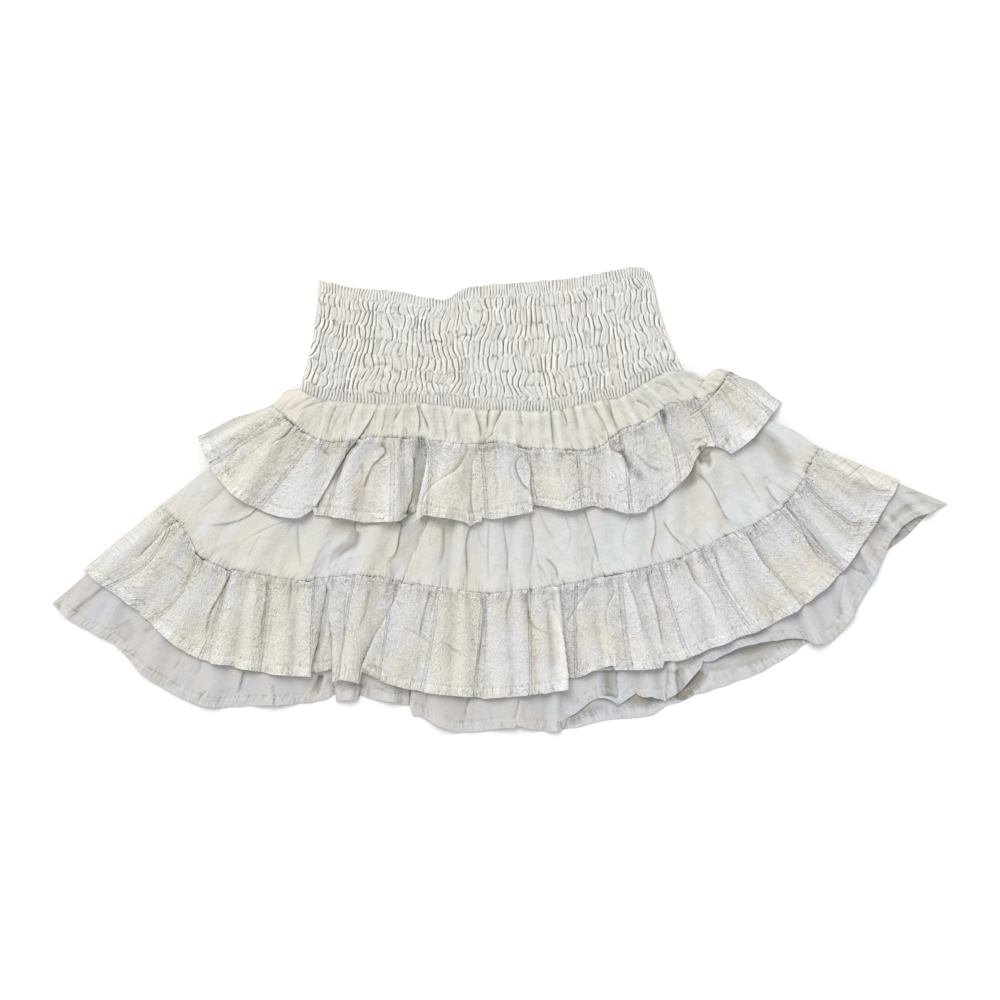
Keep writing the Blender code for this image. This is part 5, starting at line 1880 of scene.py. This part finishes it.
@dataclass(frozen=True)
class Finish:
    """Cotton, from its colours to its weave."""

    name: str
    slot: str
    cream: tuple  # where the light is warm
    cool: tuple  # where the cloth looks bluer
    blush: tuple  # in a few pinker patches
    ridge: tuple  # painted highlight, up on a ridge; the woven sprigs take it as their own paler tone
    painted_shade: tuple  # painted shade, down in a valley; the ladders and the grain take it as their own darker tone
    patches: float = 15.0  # size of the warm and cool patches, as their number in a metre
    # how much of the painted shade, and of the painted highlight, the cloth takes
    painted_shade_share: float = 0.8
    painted_highlight_share: float = 0.45
    roughness: float = 0.85
    weave: float = 0.08  # height of the weave, in millimetres
    rumple: float = 0.35  # height of the small dents, in millimetres
    crinkle: float = 0.0
    pucker: float = 0.5  # height of the puckers that stitching draws up
    figured: bool = False
    sprig_share: float = 0.2  # how much of the painted highlight's colour a woven sprig takes
    ladder_share: float = 0.32  # and of the painted shade's colour a ladder of drawn threads
    sprig_rise: float = 0.4  # height of a sprig, in millimetres

    def material(self) -> bpy.types.Material:
        """The finish's own material, made once."""
        return bpy.data.materials.get(self.name) or self.make()

    def make(self) -> bpy.types.Material:
        """Mix the colours and lay the bumps on one another.

        Returns:
            The new material.
        """
        shader = Shader(self.name)
        place = shader.node("TexCoord", {}, {}, "Object")
        cloth = shader.node("UVMap", {}, {})
        painted_shade = shader.node("Attribute", {"attribute_name": "painted_shade"}, {}, "Fac")
        drawn = shader.node("Attribute", {"attribute_name": "pucker"}, {}, "Fac")
        pucker = shader.noise(shader.stretched(cloth, 380, 75), 1.0, 1.5, 0.6)
        # painted shade and painted highlight over the puckers that stitching draws up
        painted_shade = painted_shade + drawn * (0.5 - pucker) * 2.2
        colour = self.colours(shader, place, cloth, painted_shade)
        normal = self.surface(shader, place, cloth)
        normal = shader.bump(pucker * drawn, self.pucker * MM * 4, normal)
        if self.figured:
            figure, thin = self.figure(shader, cloth)
            # the sprigs and the ladders take the painted highlight's and the painted shade's colours as
            # their own woven tones
            colour = shader.mix(self.sprig_share * figure, colour, self.ridge)
            colour = shader.mix(self.ladder_share * thin, colour, self.painted_shade)
            normal = shader.bump(figure - 0.9 * thin, self.sprig_rise * MM, normal)
        shader.set(Base_Color=colour, Roughness=self.roughness, Normal=normal)
        shader.set(Specular_IOR_Level=0.12, Sheen_Weight=0.04, Sheen_Roughness=0.5)
        return shader.made

    def colours(self, shader: Shader, place: Value, cloth: Value, painted_shade: Value) -> Value:
        """Mix warm and cool patches, with painted shade in the valleys and a painted highlight on the
        ridges.

        Args:
            shader: The material's nodes.
            place: Place in the skirt, in metres.
            cloth: Place on the cut cloth, in metres.
            painted_shade: How much painted shade a point takes, from how far it lies in a valley; below
                0, painted highlight.

        Returns:
            The colour.
        """
        patch = shader.noise(place, self.patches, 3.0, 0.5)
        patch = 0.5 * (patch + shader.noise(shader.stretched(cloth, 42, 9), 1.0, 2.0, 0.5))
        side = shader.node("SeparateXYZ", {}, {0: place}, "X")
        patch = patch + 0.08 * shader.between(side, -0.2, 0.1) - 0.05
        colour = shader.mix(shader.between(patch, 0.39, 0.61), self.cream, self.cool)
        blush = shader.noise(place, 1.4 * self.patches, 2.0, 0.5)
        colour = shader.mix(shader.between(blush, 0.56, 0.7) * 0.5, colour, self.blush)
        grain = shader.noise(shader.stretched(cloth, 900, 600), 1.0, 3.0, 0.7)
        # a random darker grain, in the painted shade's colour
        colour = shader.mix(0.16 * shader.between(grain, 0.4, 0.72), colour, self.painted_shade)
        # painted highlight on the ridges, painted shade in the valleys
        painted_highlight = shader.between(-1.0 * painted_shade, 0.0, 0.9)
        colour = shader.mix(painted_highlight * self.painted_highlight_share, colour, self.ridge)
        return shader.mix((painted_shade * self.painted_shade_share).clamp(), colour, self.painted_shade)

    def surface(self, shader: Shader, place: Value, cloth: Value) -> Value:
        """Lay the small dents, the crinkle and the weave on one another.

        Args:
            shader: The material's nodes.
            place: Place in the skirt, in metres.
            cloth: Place on the cut cloth, in metres.

        Returns:
            The normal.
        """
        dents = shader.noise(place, 75.0, 5.0, 0.6)
        normal = shader.bump(dents, self.rumple * MM * 5)
        if self.crinkle:
            small = shader.noise(shader.stretched(cloth, 330, 210), 1.0, 3.0, 0.6)
            sharp = abs(small - 0.5) ** 0.7
            normal = shader.bump(sharp, self.crinkle * MM * 4, normal)
        slub = shader.noise(shader.stretched(cloth, 160, 900), 1.0, 2.0)
        warp = shader.noise(shader.stretched(cloth, 900, 160), 1.0, 2.0)
        return shader.bump(slub + warp, self.weave * MM * 2, normal)

    def figure(self, shader: Shader, cloth: Value) -> tuple[Value, Value]:
        """The woven sprigs, and the thin ladders of drawn threads that part them.

        Args:
            shader: The material's nodes.
            cloth: Place on the cut cloth, in metres.

        Returns:
            Masks of the sprigs and of the ladders.
        """
        ladder_gap, sprig_rise = 46.0, 17.0
        split = shader.node("SeparateXYZ", {}, {0: cloth}, "X")
        u = split * 1000
        v = Value(shader, split.socket.node.outputs["Y"]) * 1000
        x = abs(u % ladder_gap - ladder_gap / 2)
        loose = shader.noise(cloth, 260.0, 2.0, 0.6)
        strong = shader.between(shader.noise(cloth, 75.0, 1.0), 0.35, 0.6)
        y = v % sprig_rise - sprig_rise / 2 + 5.0 * (loose - 0.5)
        rails = 1 - shader.between(abs(x - 1.3), 0.15, 0.6)
        rungs = (1 - shader.between(x, 1.0, 1.4)) * shader.between(abs(v % 2.2 - 1.1), 0.2, 0.6)
        out = x + 5.0 * (shader.noise(cloth, 190.0, 2.0, 0.6) - 0.5)
        sprig = (1 - shader.between(abs(y - 0.4 * (out - 3.0)), 0.2, 1.4)) * (
            1 - shader.between(abs(out - 6.0), 3.0, 5.0))
        for curl in CURLS:
            away = ((out - curl.aside) ** 2.0 + (y - curl.rise) ** 2.0) ** 0.5
            sprig = sprig.apply("MAXIMUM", 1 - shader.between(abs(away - curl.radius), 0.2, 1.3))
        thin = rails.apply("MAXIMUM", 0.6 * rungs)
        return sprig * strong, thin


SMOCKED = Finish("smocked_cloth", "smocked_voile", shade(224, 221, 213), shade(224, 224, 222),
                 shade(225, 219, 214), shade(255, 254, 250), shade(126, 121, 111),
                 painted_shade_share=0.95, painted_highlight_share=0.9, rumple=0.15)
VOILE = Finish("yoke_cloth", "cream_voile", shade(219, 215, 205), shade(216, 219, 220),
               shade(219, 214, 209), shade(233, 232, 228), shade(156, 151, 141), rumple=0.55)
WARM_VOILE = Finish("upper_yoke_finish", "cream_voile", shade(224, 219, 206), shade(222, 221, 215),
                    shade(224, 218, 208), shade(239, 237, 230), shade(156, 151, 139), rumple=0.6)
FIGURED = Finish("ruffle_cloth", "figured_cotton", shade(229, 224, 212), shade(226, 227, 230),
                 shade(229, 221, 215), shade(253, 252, 249), shade(156, 149, 138),
                 painted_shade_share=0.74, painted_highlight_share=0.6, crinkle=0.46, figured=True)
LINING_VOILE = Finish("lining_cloth", "lining_voile", shade(207, 203, 198), shade(203, 206, 210),
                      shade(208, 202, 199), shade(224, 223, 222), shade(148, 143, 135), rumple=0.45)
THREAD = Finish("sewing_thread", "smocked_voile", shade(230, 227, 218), shade(228, 228, 224),
                shade(230, 225, 220), shade(236, 234, 228), shade(190, 184, 170), rumple=0.0)


# ---- light, floor and camera

@dataclass
class Studio:
    """A white table top, soft light and a camera straight above."""

    view_width: float = 0.82  # metres of the table in view
    camera_height: float = 1.4
    sensor: float = 36.0
    key_rise: float = math.radians(56)  # above the table
    key_turn: float = math.radians(24)  # from straight beyond the waistband towards the left
    key_angle: float = math.radians(30)  # how wide the light looks from the skirt
    key_power: float = 1.68
    fill: float = 0.695

    def build(self) -> None:
        """Set up the floor, the light and the camera."""
        self.floor()
        self.light()
        self.camera()

    def floor(self) -> None:
        """A pale floor just below the skirt."""
        bpy.ops.object.select_all(action="DESELECT")
        bpy.ops.mesh.primitive_plane_add(size=6, location=(0, 0, -0.0002))
        floor = bpy.context.object
        floor.name = "floor"
        bpy.ops.object.transform_apply(location=True, rotation=True, scale=True)
        shader = Shader("pale_floor")
        shader.set(Base_Color=(0.93, 0.93, 0.93, 1.0), Roughness=0.9, Specular_IOR_Level=0.0)
        floor.data.materials.append(shader.made)

    def light(self) -> None:
        """A soft key from beyond the waistband, and an even fill."""
        lamp = bpy.data.lights.new("key", "SUN")
        lamp.energy, lamp.angle = self.key_power, self.key_angle
        key = bpy.data.objects.new("key", lamp)
        bpy.context.scene.collection.objects.link(key)
        key.rotation_euler = (self.key_rise - math.pi / 2, 0.0, self.key_turn)
        world = bpy.data.worlds.new("studio")
        world.use_nodes = True
        world.node_tree.nodes["Background"].inputs["Color"].default_value = (1, 1, 1, 1)
        world.node_tree.nodes["Background"].inputs["Strength"].default_value = self.fill
        bpy.context.scene.world = world
        bpy.context.scene.view_settings.view_transform = "Standard"

    def camera(self) -> None:
        """A camera that looks straight down, with the skirt's top edge at the top."""
        lens = bpy.data.cameras.new("camera")
        lens.sensor_width = self.sensor
        lens.lens = self.sensor * self.camera_height / self.view_width
        camera = bpy.data.objects.new("camera", lens)
        bpy.context.scene.collection.objects.link(camera)
        camera.location = (0, 0, self.camera_height)
        bpy.context.scene.camera = camera


# ---- the skirt


def main() -> None:
    """Lay the skirt from the surface up, sew on the waistband, and light it."""
    logging.basicConfig(level=logging.INFO, format="%(message)s")
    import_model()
    ground = Ground()
    upper = Tier(UPPER_TIER, UPPER_FOLDS, UPPER_CREASES, UPPER_HEM_STEPS, UPPER_NUDGES, (),
                 columns=520, cell=1.0, name="upper", first_row=201, yoke_cut=(400, 36),
                 ruffle_cut=(540, 60), rests_on=("lower_yoke_front",), yoke_finish=WARM_VOILE)
    lower = Tier(LOWER_TIER, LOWER_FOLDS, LOWER_CREASES, LOWER_HEM_STEPS, LOWER_NUDGES, LOWER_SLANTS,
                 columns=525, cell=1.3, name="lower", hidden=0.52, first_row=301, yoke_cut=(600, 145),
                 ruffle_cut=(800, 86), rests_on=("lining_front",), yoke_finish=VOILE)
    lining = Lining(LINING, LINING_FOLDS, LINING_CREASES, LINING_HEM_STEPS, (), (), columns=470,
                    cell=1.25, back_columns=340, back_creases_shown=LINING_BACK_CREASES,
                    back_hem_steps=LINING_BACK_HEM_STEPS)
    for tier in (upper, lower, lining):
        tier.build(Side.BACK, ground)
    for tier in (lining, lower, upper):
        tier.build(Side.FRONT, ground)
    band = Waistband(creases=BAND_CREASES)
    band.back()
    band.front()
    Studio().build()


if __name__ == "__main__":
    main()
